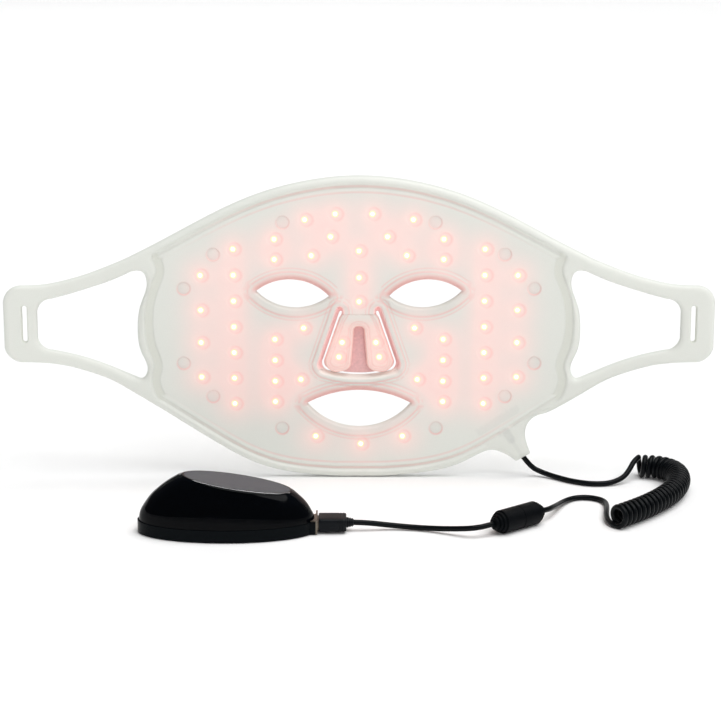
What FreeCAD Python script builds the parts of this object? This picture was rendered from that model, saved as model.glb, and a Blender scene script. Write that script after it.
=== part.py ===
# LED face mask: a two-layer silicone mask, its curly cord, and its desk-top controller.
# Millimetres, +Z up, wearer's side of the mask towards -Y, +X to the right of the wearer's side.
# The mask stands upright on its chin edge and the controller lies in front of it.
# The origin is on the resting surface, in the middle of the mask and controller together.
import FreeCAD, Part
import math
import os

V = FreeCAD.Vector
Z_AXIS = V(0, 0, 1)

# ---- mask section: depth is counted from the back face towards the wearer ----
BACK_Y = 67.0            # back face of the mask
SHELL_FLOOR = 2.0        # thickness of the back layer
RIM_DEPTH = 7.0          # full thickness at the raised rim
SKIN_BACK = 3.9          # back face of the front layer
SKIN_FRONT = 6.0         # front face of the front layer
BEAD_FRONT = 6.8         # crest of the beads round the openings
BEAD_WIDTH = 5.6         # width of those beads
FLEX_THICK = 0.3         # flexible circuit
FLEX_GAP = 1.2           # circuit edge to the openings
EDGE_WALL = 1.6          # wall of the back layer round each opening

# ---- mask outline, right half, from the chin up ----
CHIN_FLAT = 14.0
CHEEK_EDGE = [(40, 2.6), (61, 8.0), (90, 23.6), (119, 42.2), (135.2, 52.4)]
BROW_EDGE = [(135.2, 136.9), (119, 145.2), (90, 160.8), (61, 173.9), (33, 181.6), (0, 185.0)]
TEMPLE_EDGE = [(135.2, 63.4), (130.2, 61.6), (127.2, 66.0), (130.6, 77), (132.7, 91.5),
               (130.6, 107), (126.6, 121.5), (129.8, 127.6), (135.2, 127.3)]

# ---- inner edge of the raised rim, right half, from the chin up ----
WELL_CHIN_Z = 7.5
WELL_CHEEK = [(39, 9.9), (58, 14.9), (86, 30.0), (116.5, 49.4)]
WELL_BROW = [(117.4, 137.4), (86.6, 154.2), (58.4, 166.9), (31.8, 174.3), (0, 177.5)]
WELL_TEMPLE = [(116.5, 49.4), (115.6, 60), (117.2, 70), (121.2, 80), (123.8, 93), (121.6, 107),
               (117.2, 119), (115.6, 128), (117.4, 137.4)]

# ---- openings ----
EYE_X = 39.6
EYE_OUTER = (61.4, 115.7)
EYE_INNER = (17.8, 112.9)
EYE_TOP_Z = 122.6
EYE_BOTTOM_Z = 106.2
MOUTH_HALF = 31.3
MOUTH_CORNER_Z = 47.2
MOUTH_TOP_Z = 55.0
MOUTH_BOTTOM_Z = 32.5
NOSE_TOP = (13.4, 105.6)
NOSE_FOOT = ((24.3, 71.2), (23.3, 67.9), (19.6, 65.9))   # side's end, corner, end of the base
NOSE_BOTTOM_Z = 63.0

# ---- nose flap ----
FLAP_AXIS_Z = 101.0      # fold line of the flap
FLAP_AXIS_DEPTH = 1.0    # the fold runs in the middle of the back layer
FLAP_TOP_HALF = 10.3
FLAP_FOOT = ((20.9, 72.4), (20.3, 69.0), (17.4, 66.9))
FLAP_BOTTOM_Z = 64.6
FLAP_SLIT = 1.2
FLAP_HOLE_FOOT = ((22.1, 72.0), (21.6, 68.2), (18.2, 65.7))
HINGE_CLEAR = 0.3
FLAP_DEPTH = 6.2         # front face of the flap's legs
LEG_TOP = (10.8, 99.6)
LEG_FOOT = (20.5, 73.0)
LEG_TOE = (11.0, 65.9)
LEG_TOE_ROUND = (18.2, 67.4)
LEG_HEEL = (4.4, 72.2)
LEG_HEEL_ROUND = (6.1, 67.9)
LEG_INNER_TOP = (3.1, 93.2)
LEG_SLOT_TOP_Z = 96.2
NOSE_POCKET_R = 2.7
NOSE_POCKET_CLEAR = 0.2
TONGUE = (9.9, 101.4, 108.0)   # half width, lower edge and root of the front layer above the fold

# ---- wings ----
WING_AXIS_X = 138.0      # fold line of each wing
WING_BACK = 1.0          # depth of the wing's back face
WING_THICK = 5.0
WING_TOP = [(138, 135.5), (148, 131.2), (162, 125.8), (176, 121.7), (188, 119.3), (201, 118.6)]
WING_BOTTOM = [(201, 71.3), (188, 70.8), (176, 69.2), (162, 65.3), (148, 59.9), (138, 54.1)]
WING_END_X = 212.9
WING_END_TOP_Z = 108.0
WING_END_BOTTOM_Z = 80.5
LOOP_TOP = [(138, 126.0), (148, 121.6), (161, 117.1), (175, 112.8), (184, 110.4)]
LOOP_BOTTOM = [(184, 79.2), (175, 77.4), (161, 73.6), (148, 68.7), (138, 64.3)]
LOOP_END_X = 192.5
LOOP_END_TOP_Z = 103.0
LOOP_END_BOTTOM_Z = 86.5
WING_CORNER = (2.2, 2.8, 2.6)    # middle of the end's corners: outwards, below its top, above its foot
LOOP_CORNER = (1.6, 2.4)         # the same for the corners inside the loop
SLOT_X = 200.2
SLOT_WIDTH = 2.6
SLOT_Z = (84.2, 106.2)

# ---- locating pegs, right half ----
PEG_R = 3.8
PEG_FRONT = 5.4
PEG_CLEAR = 0.1
PEG_SITES = [(45.3, 157.2), (86.7, 137.9), (104.5, 117.2), (105.2, 71.4), (87.9, 50.8), (46.4, 31.0)]

# ---- light-emitting diodes ----
LED_SIZE = (3.5, 2.8)
LED_THICK = 1.4
LED_DOME = 0.4
LED_DOME_R = 1.2
LED_POCKET_R = 4.2
LED_POCKET_DEPTH = 1.0
OUTER_COLUMN_X = 94.6
OUTER_COLUMN_Z = [62.8, 84.1, 104.0, 125.2]
CHEEK_COLUMN_X = 74.9
CHEEK_COLUMN_FOOT = 46.3
CHEEK_COLUMN_STEP = 15.8
CHEEK_COLUMN_COUNT = 7
INNER_COLUMN_X = 50.4
INNER_COLUMN_Z = [47.5, 60.2, 73.2, 86.1]
NEAR_NOSE = [(35.0, 61.3), (33.2, 93.0)]
BROW_SITES = [(50.4, 134.9), (50.4, 147.1), (28.4, 137.2), (16.9, 148.6), (32.2, 158.9)]
BROW_TOP = [(-14.1, 162.3), (8.0, 162.3)]
MIDLINE_Z = [109.2, 123.8, 140.0]
CHIN_SIDE = (26.2, 25.9)
CHIN_MIDDLE = (1.0, 21.1)
NOSE_SITES = [(10.1, 84.2), (12.1, 75.2)]

# ---- where the cord enters the mask ----
MID_DEPTH = 3.5          # the cord enters the mask at this depth
BOOT_TIP = V(99.8, BACK_Y - MID_DEPTH, 12.2)
BOOT_AXIS = V(0.55, 0, -0.835)
BOOT_OUTLINE = [(95.5, 10.0), (91.6, 12.6), (86.0, 15.4), (80.6, 16.9), (75.0, 14.9)]
BOOT_SHOULDER = [(113.0, 38.4), (107.6, 37.4), (103.4, 34.2), (100.9, 29.4), (100.9, 22.8), (103.9, 14.6)]
BOOT_ROOT = [(75.0, 14.9), (80.0, 24.0), (106.0, 41.0), (113.0, 38.4)]   # hidden inside the rim
LEAD_INSIDE = 23.5       # length of cord inside the boot and rim
CRIMP_START = 14.5
CRIMP_LENGTH = 6.0
CRIMP_R = 2.6
BOARD_ENDS = ((73.2, 28.6), (94.4, 42.2))
JUNCTION_WIDTH = 5.0
JUNCTION_DEPTH = (2.4, 3.3)
RESISTOR_STARTS = [4.0, 9.0, 14.0, 19.0]   # along the junction board
RESISTOR_SIZE = (2.0, 1.2, 0.5)            # along, across, thickness

# ---- cord ----
CORD_R = 1.6
COIL_R = 7.0
MASK_LEAD = [(99.8, 63.5, 12.2), (104.2, 63.4, 5.9), (111.6, 61.6, 2.6), (120.0, 54.6, 1.7),
             (129.0, 46.0, 1.7), (140.0, 41.0, 1.7), (150.6, 42.0, 1.8), (158.8, 46.4, 3.8),
             (164.4, 52.0, 8.6), (170.6, 59.0, 12.2)]
COIL_ROUTE = [(169.5, 61.0, 7.0), (177.3, 61.0, 7.0), (185.7, 56.2, 7.0), (190.5, 47.8, 7.0),
              (191.2, 37.0, 7.0), (189.2, 24.5, 7.0), (184.5, 10.5, 7.0), (176.5, -4.0, 7.0),
              (166.5, -18.0, 7.0), (155.5, -30.5, 7.0), (146.0, -39.8, 7.0)]
MIDDLE_LEAD = [(103.6, -27.6, 6.7), (108.4, -23.4, 6.3), (112.2, -15.2, 5.2), (115.4, -6.0, 3.6),
               (119.2, 4.0, 2.2), (124.6, 11.8, 1.7), (130.0, 14.3, 1.7), (136.0, 13.9, 1.7),
               (141.1, 10.7, 1.7), (144.0, 5.5, 1.7), (144.0, -3.4, 2.2), (142.8, -14.0, 3.6),
               (141.8, -25.6, 4.6), (143.6, -37.0, 4.4)]
PLUG_LEAD = [(-2.9, -43.4, 5.0), (6.0, -43.3, 4.6), (17.0, -41.6, 2.8), (29.5, -42.4, 1.8),
             (42.5, -46.2, 2.2), (54.5, -52.0, 3.9), (65.6, -57.2, 6.0), (76.0, -51.4, 6.7)]

# ---- ferrite choke on the cord ----
FERRITE_R = 6.7
FERRITE_LENGTH = 29.6
FERRITE_STEPS = [(5.3, 1.4), (4.2, 1.2), (3.1, 1.3)]
FERRITE_CORE_R = 5.0
FERRITE_CORE_LENGTH = 24.0
FERRITE_BORE_R = 2.4

# ---- controller ----
BOX_X = -74.5
BOX_Y = -43.4
BOX_HALF_LENGTH = 50.4
BOX_HALF_WIDTH = 23.6
BASE_BOTTOM = 0.5
BASE_TOP = 7.3
WALL = 2.0
# cover sections: left end (x, z), right end (x, z) from the controller's centre, half width
COVER_SECTIONS = [((-49.6, 7.3), (49.6, 7.3), 22.8), ((-46.0, 17.0), (47.8, 12.2), 21.6),
                  ((-38.6, 25.4), (44.6, 17.2), 19.2), ((-30.6, 30.9), (40.4, 21.2), 16.6),
                  ((-24.6, 33.8), (36.8, 24.0), 14.8)]
BUTTON_WELL = (30.3, 14.3)   # half length and half width of the recess for the button
BUTTON_WELL_DEPTH = 2.4
BUTTON_GAP = 0.25
BUTTON_THICK = 1.5
BUTTON_TRAVEL = 0.8
CROWN_THICK = 4.0            # cover thickness under the button
STEM_R = 3.6
STEM_LENGTH = 6.4
SOCKET_Z = 5.0
SOCKET_OUTER = (13.4, 5.8)
SOCKET_INNER = (12.6, 5.0)
SOCKET_DEPTH = 13.0
SOCKET_WALL = 0.4
SOCKET_TONGUE_WIDTH = 10.8
BEZEL_THICK = 1.0
BEZEL_SIZE = (17.0, 8.9)
BEZEL_HOLE = (13.0, 5.4)
END_FLAT = 50.2              # the flat on the tray's end that carries the bezel
TONGUE_THICK = 1.6
FOOT_R = 4.0
FOOT_SITES = [(-30, -12), (-30, 12), (26, -13), (26, 13)]
FOOT_THICK = 0.9
SCREW_SITES = [(-38, 0), (14, -17.4), (14, 17.4)]
SCREW_R = 1.1
SCREW_HEAD_R = 2.2
SCREW_HEAD_TOP = 2.0
SCREW_TIP = 14.0
SCREW_END_ROOM = 0.5
SCREW_SLOT = (2.6, 0.6, 0.7)   # length, width, depth from the tray's underside
PILLAR_R = 2.6
BATTERY = (-34, 18, 14.0, 7.6)        # from x, to x, half width, thickness
FOAM = (-24, 18, 10.0)                # from x, to x, half width
BOARD = (-26, 22, 11.0, 1.6)          # from x, to x, half width, thickness
BOARD_Z = 15.0
BUZZER = (-17, 0, 4.5, 2.2)           # x, y, radius, height
CHIPS = [(-6, 6, 5, 5, 1.1), (16, -4, 6, 4, 1.2), (16, 5, 3, 3, 1.0), (-6, -6, 4, 3, 1.0)]
SWITCH_SIZE = (6.2, 6.2, 3.4)
SWITCH_CLEAR = 0.05
PLUNGER_R = 1.7
PLUNGER_TILT_ROOM = 0.3        # lets the tilted stem's edge miss the plunger
BATTERY_FILLET = 1.5

# ---- plug ----
PLUG_SHELL = (12.0, 4.5)
PLUG_SHELL_WALL = 0.4
PLUG_INSERTED = 11.0
PLUG_GAP = 0.6
HOUSING_SIZE = (15.6, 14.6, 8.2)
HOUSING_FILLET = 1.8
RELIEF_LENGTH = 4.2
RELIEF_R = (3.0, 2.2)
CONTACT_PITCH = 2.5
CONTACT_SIZE = (6.0, 1.0, 0.1)
BEZEL_X = BOX_X + END_FLAT                  # where the bezel starts
PLUG_X = BEZEL_X + BEZEL_THICK + PLUG_GAP   # where the plug's housing starts


def at(x, z, depth):
    """A point of the mask, given by its depth from the back face."""
    return V(x, BACK_Y - depth, z)


def save(name, solids):
    shape = solids[0] if len(solids) == 1 else Part.makeCompound(solids)
    shape.exportStep("parts/" + name + ".step")


def spline(points, depth=0.0):
    curve = Part.BSplineCurve()
    curve.interpolate([at(x, z, depth) for x, z in points])
    return curve.toShape()


def line(a, b, depth=0.0):
    return Part.LineSegment(at(a[0], a[1], depth), at(b[0], b[1], depth)).toShape()


def arc(a, b, c, depth=0.0):
    return Part.Arc(at(a[0], a[1], depth), at(b[0], b[1], depth), at(c[0], c[1], depth)).toShape()


def polygon(points):
    return Part.Wire([line(a, b) for a, b in zip(points, points[1:] + points[:1])])


def mirrored(points):
    return [(-x, z) for x, z in reversed(points)]


def plate(wire, depth0, depth1):
    """The area inside a wire drawn at the back face, from one depth to another."""
    face = Part.Face(wire)
    face.translate(V(0, -depth0, 0))
    return face.extrude(V(0, depth0 - depth1, 0))


def offset(wire, distance):
    return wire.makeOffset2D(distance)


def face_outline(chin_z, cheek, temple, brow):
    """A closed outline, symmetric about the midline, from its right half."""
    chin = [(CHIN_FLAT, chin_z)] + cheek
    brow_arch = spline(brow + mirrored(brow)[1:])
    right = [spline(chin), spline(temple)]
    left = [spline(mirrored(temple)), spline(mirrored(chin))]
    if cheek[-1] != temple[0]:
        right.insert(1, line(cheek[-1], temple[0]))
        right.append(line(temple[-1], brow[0]))
        left.insert(0, line(mirrored(brow)[-1], mirrored(temple)[0]))
        left.insert(2, line(mirrored(temple)[-1], mirrored(cheek)[0]))
    foot = line((-CHIN_FLAT, chin_z), (CHIN_FLAT, chin_z))
    return Part.Wire([foot] + right + [brow_arch] + left)


def panel_outline():
    return face_outline(0.0, CHEEK_EDGE, TEMPLE_EDGE, BROW_EDGE)


def well_outline():
    return face_outline(WELL_CHIN_Z, WELL_CHEEK, WELL_TEMPLE, WELL_BROW)


def eye_outline(side):
    outer = (side * EYE_OUTER[0], EYE_OUTER[1])
    inner = (side * EYE_INNER[0], EYE_INNER[1])
    top = (side * EYE_X, EYE_TOP_Z)
    bottom = (side * EYE_X, EYE_BOTTOM_Z)
    return Part.Wire([arc(outer, top, inner), arc(inner, bottom, outer)])


def mouth_outline():
    left = (-MOUTH_HALF, MOUTH_CORNER_Z)
    right = (MOUTH_HALF, MOUTH_CORNER_Z)
    return Part.Wire([arc(left, (0, MOUTH_TOP_Z), right), arc(right, (0, MOUTH_BOTTOM_Z), left)])


def wedge_outline(top, foot, bottom_z):
    """A trapezoid with rounded feet and an arched base: the nose opening and its flap."""
    side_end, corner, base = foot
    left_top, left_end, left_corner, left_base = ((-x, z) for x, z in (top, side_end, corner, base))
    edges = [line(left_top, top), line(top, side_end), arc(side_end, corner, base)]
    edges += [arc(base, (0, bottom_z), left_base), arc(left_base, left_corner, left_end)]
    edges.append(line(left_end, left_top))
    return Part.Wire(edges)


def nose_outline():
    return wedge_outline(NOSE_TOP, NOSE_FOOT, NOSE_BOTTOM_Z)


def flap_outline():
    return wedge_outline((FLAP_TOP_HALF, FLAP_AXIS_Z), FLAP_FOOT, FLAP_BOTTOM_Z)


def flap_hole_outline():
    top_half = FLAP_TOP_HALF + FLAP_SLIT
    top_z = FLAP_AXIS_Z + FLAP_AXIS_DEPTH + HINGE_CLEAR
    return wedge_outline((top_half, top_z), FLAP_HOLE_FOOT, FLAP_BOTTOM_Z - FLAP_SLIT)


def face_openings():
    return [eye_outline(-1), eye_outline(1), mouth_outline()]


def peg_sites():
    return [(side * x, z) for side in (-1, 1) for x, z in PEG_SITES]


def led_groups():
    """Sites of the diodes, in the groups that share one strip of the circuit."""
    cheek = [(OUTER_COLUMN_X, z) for z in OUTER_COLUMN_Z]
    cheek += [(CHEEK_COLUMN_X, CHEEK_COLUMN_FOOT + CHEEK_COLUMN_STEP * i) for i in range(CHEEK_COLUMN_COUNT)]
    cheek += [(INNER_COLUMN_X, z) for z in INNER_COLUMN_Z]
    cheek += NEAR_NOSE
    forehead = [(side * x, z) for side in (-1, 1) for x, z in BROW_SITES]
    forehead += BROW_TOP
    forehead += [(0.0, z) for z in MIDLINE_Z]
    chin = [(-CHIN_SIDE[0], CHIN_SIDE[1]), CHIN_MIDDLE, CHIN_SIDE]
    return {
        "left_cheek_leds": [(-x, z) for x, z in cheek],
        "right_cheek_leds": cheek,
        "forehead_leds": forehead,
        "chin_leds": chin,
    }


def nose_led_sites():
    return [(side * x, z) for side in (-1, 1) for x, z in NOSE_SITES]


def disc(x, z, radius, depth0, depth1):
    return Part.makeCylinder(radius, depth1 - depth0, at(x, z, depth0), V(0, -1, 0))


def diode(x, z, back):
    """A surface-mount diode: a square body with a shallow clear dome."""
    wide, tall = LED_SIZE
    body_front = back + LED_THICK - LED_DOME
    body = Part.makeBox(wide, LED_THICK - LED_DOME, tall, at(x - wide / 2, z - tall / 2, body_front))
    dome = disc(x, z, LED_DOME_R, body_front, body_front + LED_DOME)
    return body.fuse(dome).removeSplitter()


def outer_shell():
    """The back layer: a thin floor inside a raised rim, with a collar round each opening."""
    openings = face_openings()
    shell = plate(panel_outline(), 0, RIM_DEPTH)
    shell = shell.cut(plate(well_outline(), SHELL_FLOOR, RIM_DEPTH))
    shell = shell.multiFuse([plate(offset(o, EDGE_WALL), SHELL_FLOOR, SKIN_BACK) for o in openings])
    cutters = [plate(o, 0, RIM_DEPTH) for o in openings]
    cutters.append(plate(flap_hole_outline(), 0, SHELL_FLOOR))
    cutters.append(boot_cavity())
    return shell.cut(cutters).removeSplitter()


def inner_skin():
    """The front layer: beads round the openings, a pocket behind it for each diode, peg holes."""
    openings = face_openings() + [nose_outline()]
    skin = plate(well_outline(), SKIN_BACK, SKIN_FRONT)
    skin = skin.multiFuse([plate(offset(o, BEAD_WIDTH), SKIN_BACK, BEAD_FRONT) for o in openings])
    cutters = [plate(o, 0, RIM_DEPTH) for o in openings]
    pocket_floor = SKIN_BACK + LED_POCKET_DEPTH
    for sites in led_groups().values():
        cutters += [disc(x, z, LED_POCKET_R, SKIN_BACK, pocket_floor) for x, z in sites]
    cutters += [disc(x, z, PEG_R + PEG_CLEAR, SKIN_BACK, RIM_DEPTH) for x, z in peg_sites()]
    half, low, root = TONGUE
    tongue = plate(polygon([(-half, low), (half, low), (half, root), (-half, root)]), SKIN_BACK, SKIN_FRONT)
    return skin.cut(cutters).fuse(tongue).cut(boot_cavity()).removeSplitter()


def flex_circuit():
    """The flexible circuit that fills the well behind the front layer."""
    flex = plate(well_outline(), SHELL_FLOOR, SHELL_FLOOR + FLEX_THICK)
    cutters = [plate(offset(o, EDGE_WALL + FLEX_GAP), 0, RIM_DEPTH) for o in face_openings()]
    cutters.append(plate(offset(nose_outline(), FLEX_GAP), 0, RIM_DEPTH))
    cutters += [disc(x, z, PEG_R + PEG_CLEAR, 0, RIM_DEPTH) for x, z in peg_sites()]
    cutters.append(boot_cavity())
    return flex.cut(cutters).removeSplitter()


def locating_pegs():
    return [disc(x, z, PEG_R, SHELL_FLOOR, PEG_FRONT) for x, z in peg_sites()]


# ---- nose flap ----
def leg_outline():
    """Both legs and the bridge that joins them above the slot."""
    edges = []
    for s in (1, -1):
        top, foot, toe = ((s * p[0], p[1]) for p in (LEG_TOP, LEG_FOOT, LEG_TOE))
        heel, inner = ((s * p[0], p[1]) for p in (LEG_HEEL, LEG_INNER_TOP))
        toe_round = (s * LEG_TOE_ROUND[0], LEG_TOE_ROUND[1])
        heel_round = (s * LEG_HEEL_ROUND[0], LEG_HEEL_ROUND[1])
        leg = [line(top, foot), arc(foot, toe_round, toe), arc(toe, heel_round, heel), line(heel, inner)]
        edges += leg if s == 1 else leg[::-1]
        if s == 1:
            edges.append(arc(inner, (0, LEG_SLOT_TOP_Z), (-inner[0], inner[1])))
    edges.append(line((-LEG_TOP[0], LEG_TOP[1]), LEG_TOP))
    return Part.Wire(Part.__sortEdges__(edges))


def nose_flap_back():
    """The back layer of the flap, rounded about its fold line."""
    flap = plate(flap_outline(), 0, SHELL_FLOOR)
    start = at(-FLAP_TOP_HALF, FLAP_AXIS_Z, FLAP_AXIS_DEPTH)
    roll = Part.makeCylinder(FLAP_AXIS_DEPTH, 2 * FLAP_TOP_HALF, start, V(1, 0, 0))
    return flap.fuse(roll).removeSplitter()


def nose_flex():
    return plate(leg_outline(), SHELL_FLOOR, SHELL_FLOOR + FLEX_THICK)


def nose_flap_legs():
    back = SHELL_FLOOR + FLEX_THICK
    legs = plate(leg_outline(), back, FLAP_DEPTH)
    pocket_floor = back + LED_THICK + NOSE_POCKET_CLEAR
    pockets = [disc(x, z, NOSE_POCKET_R, back, pocket_floor) for x, z in nose_led_sites()]
    return legs.cut(pockets).removeSplitter()


# ---- wings ----
def wing_outline():
    """Two arms that run into an upright end piece, drawn for the right-hand side."""
    out, below_top, above_foot = WING_CORNER
    loop_out, loop_up = LOOP_CORNER
    corner_x = (WING_TOP[-1][0] + WING_END_X) / 2 + out
    loop_x = (LOOP_TOP[-1][0] + LOOP_END_X) / 2 + loop_out
    edges = [spline(WING_TOP)]
    edges.append(arc(WING_TOP[-1], (corner_x, WING_TOP[-1][1] - below_top), (WING_END_X, WING_END_TOP_Z)))
    edges.append(line((WING_END_X, WING_END_TOP_Z), (WING_END_X, WING_END_BOTTOM_Z)))
    foot_corner = (corner_x, WING_BOTTOM[0][1] + above_foot)
    edges.append(arc((WING_END_X, WING_END_BOTTOM_Z), foot_corner, WING_BOTTOM[0]))
    edges.append(spline(WING_BOTTOM))
    edges.append(line(WING_BOTTOM[-1], LOOP_BOTTOM[-1]))
    edges.append(spline(LOOP_BOTTOM[::-1]))
    edges.append(arc(LOOP_BOTTOM[0], (loop_x, LOOP_BOTTOM[0][1] + loop_up), (LOOP_END_X, LOOP_END_BOTTOM_Z)))
    edges.append(line((LOOP_END_X, LOOP_END_BOTTOM_Z), (LOOP_END_X, LOOP_END_TOP_Z)))
    edges.append(arc((LOOP_END_X, LOOP_END_TOP_Z), (loop_x, LOOP_TOP[-1][1] - loop_up), LOOP_TOP[-1]))
    edges.append(spline(LOOP_TOP[::-1]))
    edges.append(line(LOOP_TOP[0], WING_TOP[0]))
    return Part.Wire(edges)


def right_wing():
    wing = plate(wing_outline(), WING_BACK, WING_BACK + WING_THICK)
    axis_depth = WING_BACK + WING_THICK / 2
    rolls = []
    for low, high in ((LOOP_TOP[0][1], WING_TOP[0][1]), (WING_BOTTOM[-1][1], LOOP_BOTTOM[-1][1])):
        rolls.append(Part.makeCylinder(WING_THICK / 2, high - low, at(WING_AXIS_X, low, axis_depth), Z_AXIS))
    low, high = SLOT_Z
    r = SLOT_WIDTH / 2
    slot = plate(polygon([(SLOT_X - r, low + r), (SLOT_X + r, low + r), (SLOT_X + r, high - r),
                          (SLOT_X - r, high - r)]), 0, RIM_DEPTH)
    ends = [disc(SLOT_X, z, r, 0, RIM_DEPTH) for z in (low + r, high - r)]
    return wing.multiFuse(rolls).cut([slot] + ends).removeSplitter()


def left_wing():
    return right_wing().mirror(V(0, 0, 0), V(1, 0, 0))


# ---- where the cord enters the mask ----
def boot_rod(radius, start, length):
    """A rod on the cord's line inside the boot, measured inwards from the boot's tip."""
    return Part.makeCylinder(radius, length, BOOT_TIP - BOOT_AXIS.normalize() * start, -BOOT_AXIS)


def boot_cavity():
    hole = boot_rod(CORD_R, -1.0, LEAD_INSIDE + 1.6)
    return hole.fuse(boot_rod(CRIMP_R, CRIMP_START, CRIMP_LENGTH)).removeSplitter()


def cable_boot():
    edges = [line(BOOT_SHOULDER[-1], BOOT_OUTLINE[0]), spline(BOOT_OUTLINE)]
    edges += [line(a, b) for a, b in zip(BOOT_ROOT, BOOT_ROOT[1:])]
    edges.append(spline(BOOT_SHOULDER))
    boot = plate(Part.Wire(edges), 0, RIM_DEPTH)
    return boot.cut([plate(panel_outline(), -1, RIM_DEPTH + 1), boot_cavity()]).removeSplitter()


def boot_lead():
    return boot_rod(CORD_R, 0, LEAD_INSIDE)


def cable_crimp():
    outer = boot_rod(CRIMP_R, CRIMP_START, CRIMP_LENGTH)
    return outer.cut(boot_rod(CORD_R, CRIMP_START - 1, CRIMP_LENGTH + 2))


def along_board(along, across, depth):
    """A point on the junction board: along it, across it, and its depth in the mask."""
    (x0, z0), (x1, z1) = BOARD_ENDS
    length = math.hypot(x1 - x0, z1 - z0)
    ux, uz = (x1 - x0) / length, (z1 - z0) / length
    return at(x0 + ux * along - uz * across, z0 + uz * along + ux * across, depth)


def board_block(a0, a1, half, depth0, depth1):
    corners = [along_board(a, c, depth0) for a, c in ((a0, -half), (a1, -half), (a1, half), (a0, half))]
    face = Part.Face(Part.makePolygon(corners + corners[:1]))
    return face.extrude(V(0, depth0 - depth1, 0))


def junction_board():
    (x0, z0), (x1, z1) = BOARD_ENDS
    length = math.hypot(x1 - x0, z1 - z0)
    return board_block(0, length, JUNCTION_WIDTH / 2, JUNCTION_DEPTH[0], JUNCTION_DEPTH[1])


def junction_resistors():
    top = JUNCTION_DEPTH[1]
    long, wide, thick = RESISTOR_SIZE
    return [board_block(a, a + long, wide / 2, top, top + thick) for a in RESISTOR_STARTS]


# ---- cord ----
def cord_path(points, label):
    """Straight runs joined by the largest tangent arcs that fit; prints the arcs' radii."""
    corners = [V(*p) for p in points]
    edges = []
    radii = []
    start = corners[0]
    for before, corner, after in zip(corners, corners[1:], corners[2:]):
        back = before - corner
        ahead = after - corner
        turn = math.pi - back.getAngle(ahead)
        reach = 0.45 * min(back.Length, ahead.Length)
        radius = reach / math.tan(turn / 2)
        enter = corner + back.normalize() * reach
        leave = corner + ahead.normalize() * reach
        bisector = (back + ahead).normalize()
        middle = corner + bisector * (radius / math.cos(turn / 2) - radius)
        edges.append(Part.LineSegment(start, enter).toShape())
        edges.append(Part.Arc(enter, middle, leave).toShape())
        start = leave
        radii.append(round(radius, 1))
    edges.append(Part.LineSegment(start, corners[-1]).toShape())
    print(label, "arc radii", radii)
    return Part.Wire(edges)


def tube(points, radius, label):
    path = cord_path(points, label)
    direction = V(*points[1]) - V(*points[0])
    circle = Part.Wire([Part.makeCircle(radius, V(*points[0]), direction)])
    solid = path.makePipeShell([circle], True, False)
    expected = math.pi * radius ** 2 * path.Length
    print(label, "length", round(path.Length, 1), "volume ratio", round(solid.Volume / expected, 4))
    return solid


def ferrite_axis():
    """The middle of the choke and the direction of the cord through it."""
    start = V(*PLUG_LEAD[-1])
    end = V(*MIDDLE_LEAD[0])
    return (start + end) * 0.5, (end - start).normalize()


def choke_rod(radius, length, shift=0.0):
    centre, axis = ferrite_axis()
    return Part.makeCylinder(radius, length, centre + axis * (shift - length / 2), axis)


def ferrite_cover():
    """The moulded cover of the choke, with three ribs stepping down at each end."""
    body = choke_rod(FERRITE_R, FERRITE_LENGTH)
    reach = FERRITE_LENGTH / 2
    for radius, length in FERRITE_STEPS:
        for side in (-1, 1):
            body = body.fuse(choke_rod(radius, length, side * (reach + length / 2)))
        reach += length
    body = body.cut(choke_rod(FERRITE_CORE_R, FERRITE_CORE_LENGTH))
    return body.cut(choke_rod(CORD_R, 3 * FERRITE_LENGTH)).removeSplitter()


def ferrite_core():
    return choke_rod(FERRITE_CORE_R, FERRITE_CORE_LENGTH).cut(choke_rod(FERRITE_BORE_R, FERRITE_LENGTH))


def core_lead():
    start = V(*PLUG_LEAD[-1])
    end = V(*MIDDLE_LEAD[0])
    return Part.makeCylinder(CORD_R, (end - start).Length, start, end - start)


# ---- plug and socket: x runs from the controller's end ----
def block(x0, x1, wide, tall, z=SOCKET_Z):
    return Part.makeBox(x1 - x0, wide, tall, V(x0, BOX_Y - wide / 2, z - tall / 2))


def plug_shell():
    wide, tall = PLUG_SHELL
    start = BEZEL_X - PLUG_INSERTED
    inner = block(start - 1, PLUG_X + 1, wide - 2 * PLUG_SHELL_WALL, tall - 2 * PLUG_SHELL_WALL)
    return block(start, PLUG_X, wide, tall).cut(inner)


def plug_tongue():
    wide = PLUG_SHELL[0] - 2 * PLUG_SHELL_WALL
    top = SOCKET_Z + PLUG_SHELL[1] / 2 - PLUG_SHELL_WALL
    start = BEZEL_X - PLUG_INSERTED + 0.4
    return block(start, PLUG_X, wide, TONGUE_THICK, top - TONGUE_THICK / 2)


def plug_contacts():
    top = SOCKET_Z + PLUG_SHELL[1] / 2 - PLUG_SHELL_WALL - TONGUE_THICK
    start = BEZEL_X - PLUG_INSERTED + 1.2
    long, wide, thick = CONTACT_SIZE
    contacts = []
    for i in range(4):
        y = BOX_Y + (i - 1.5) * CONTACT_PITCH
        contacts.append(Part.makeBox(long, wide, thick, V(start, y - wide / 2, top - thick)))
    return contacts


def plug_housing():
    long, wide, tall = HOUSING_SIZE
    housing = block(PLUG_X, PLUG_X + long, wide, tall)
    edges = [e for e in housing.Edges if abs(e.tangentAt(e.FirstParameter).x) > 0.9]
    return housing.makeFillet(HOUSING_FILLET, edges)


def plug_strain_relief():
    start = V(PLUG_X + HOUSING_SIZE[0], BOX_Y, SOCKET_Z)
    relief = Part.makeCone(RELIEF_R[0], RELIEF_R[1], RELIEF_LENGTH, start, V(1, 0, 0))
    return relief.cut(Part.makeCylinder(CORD_R, RELIEF_LENGTH, start, V(1, 0, 0)))


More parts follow.
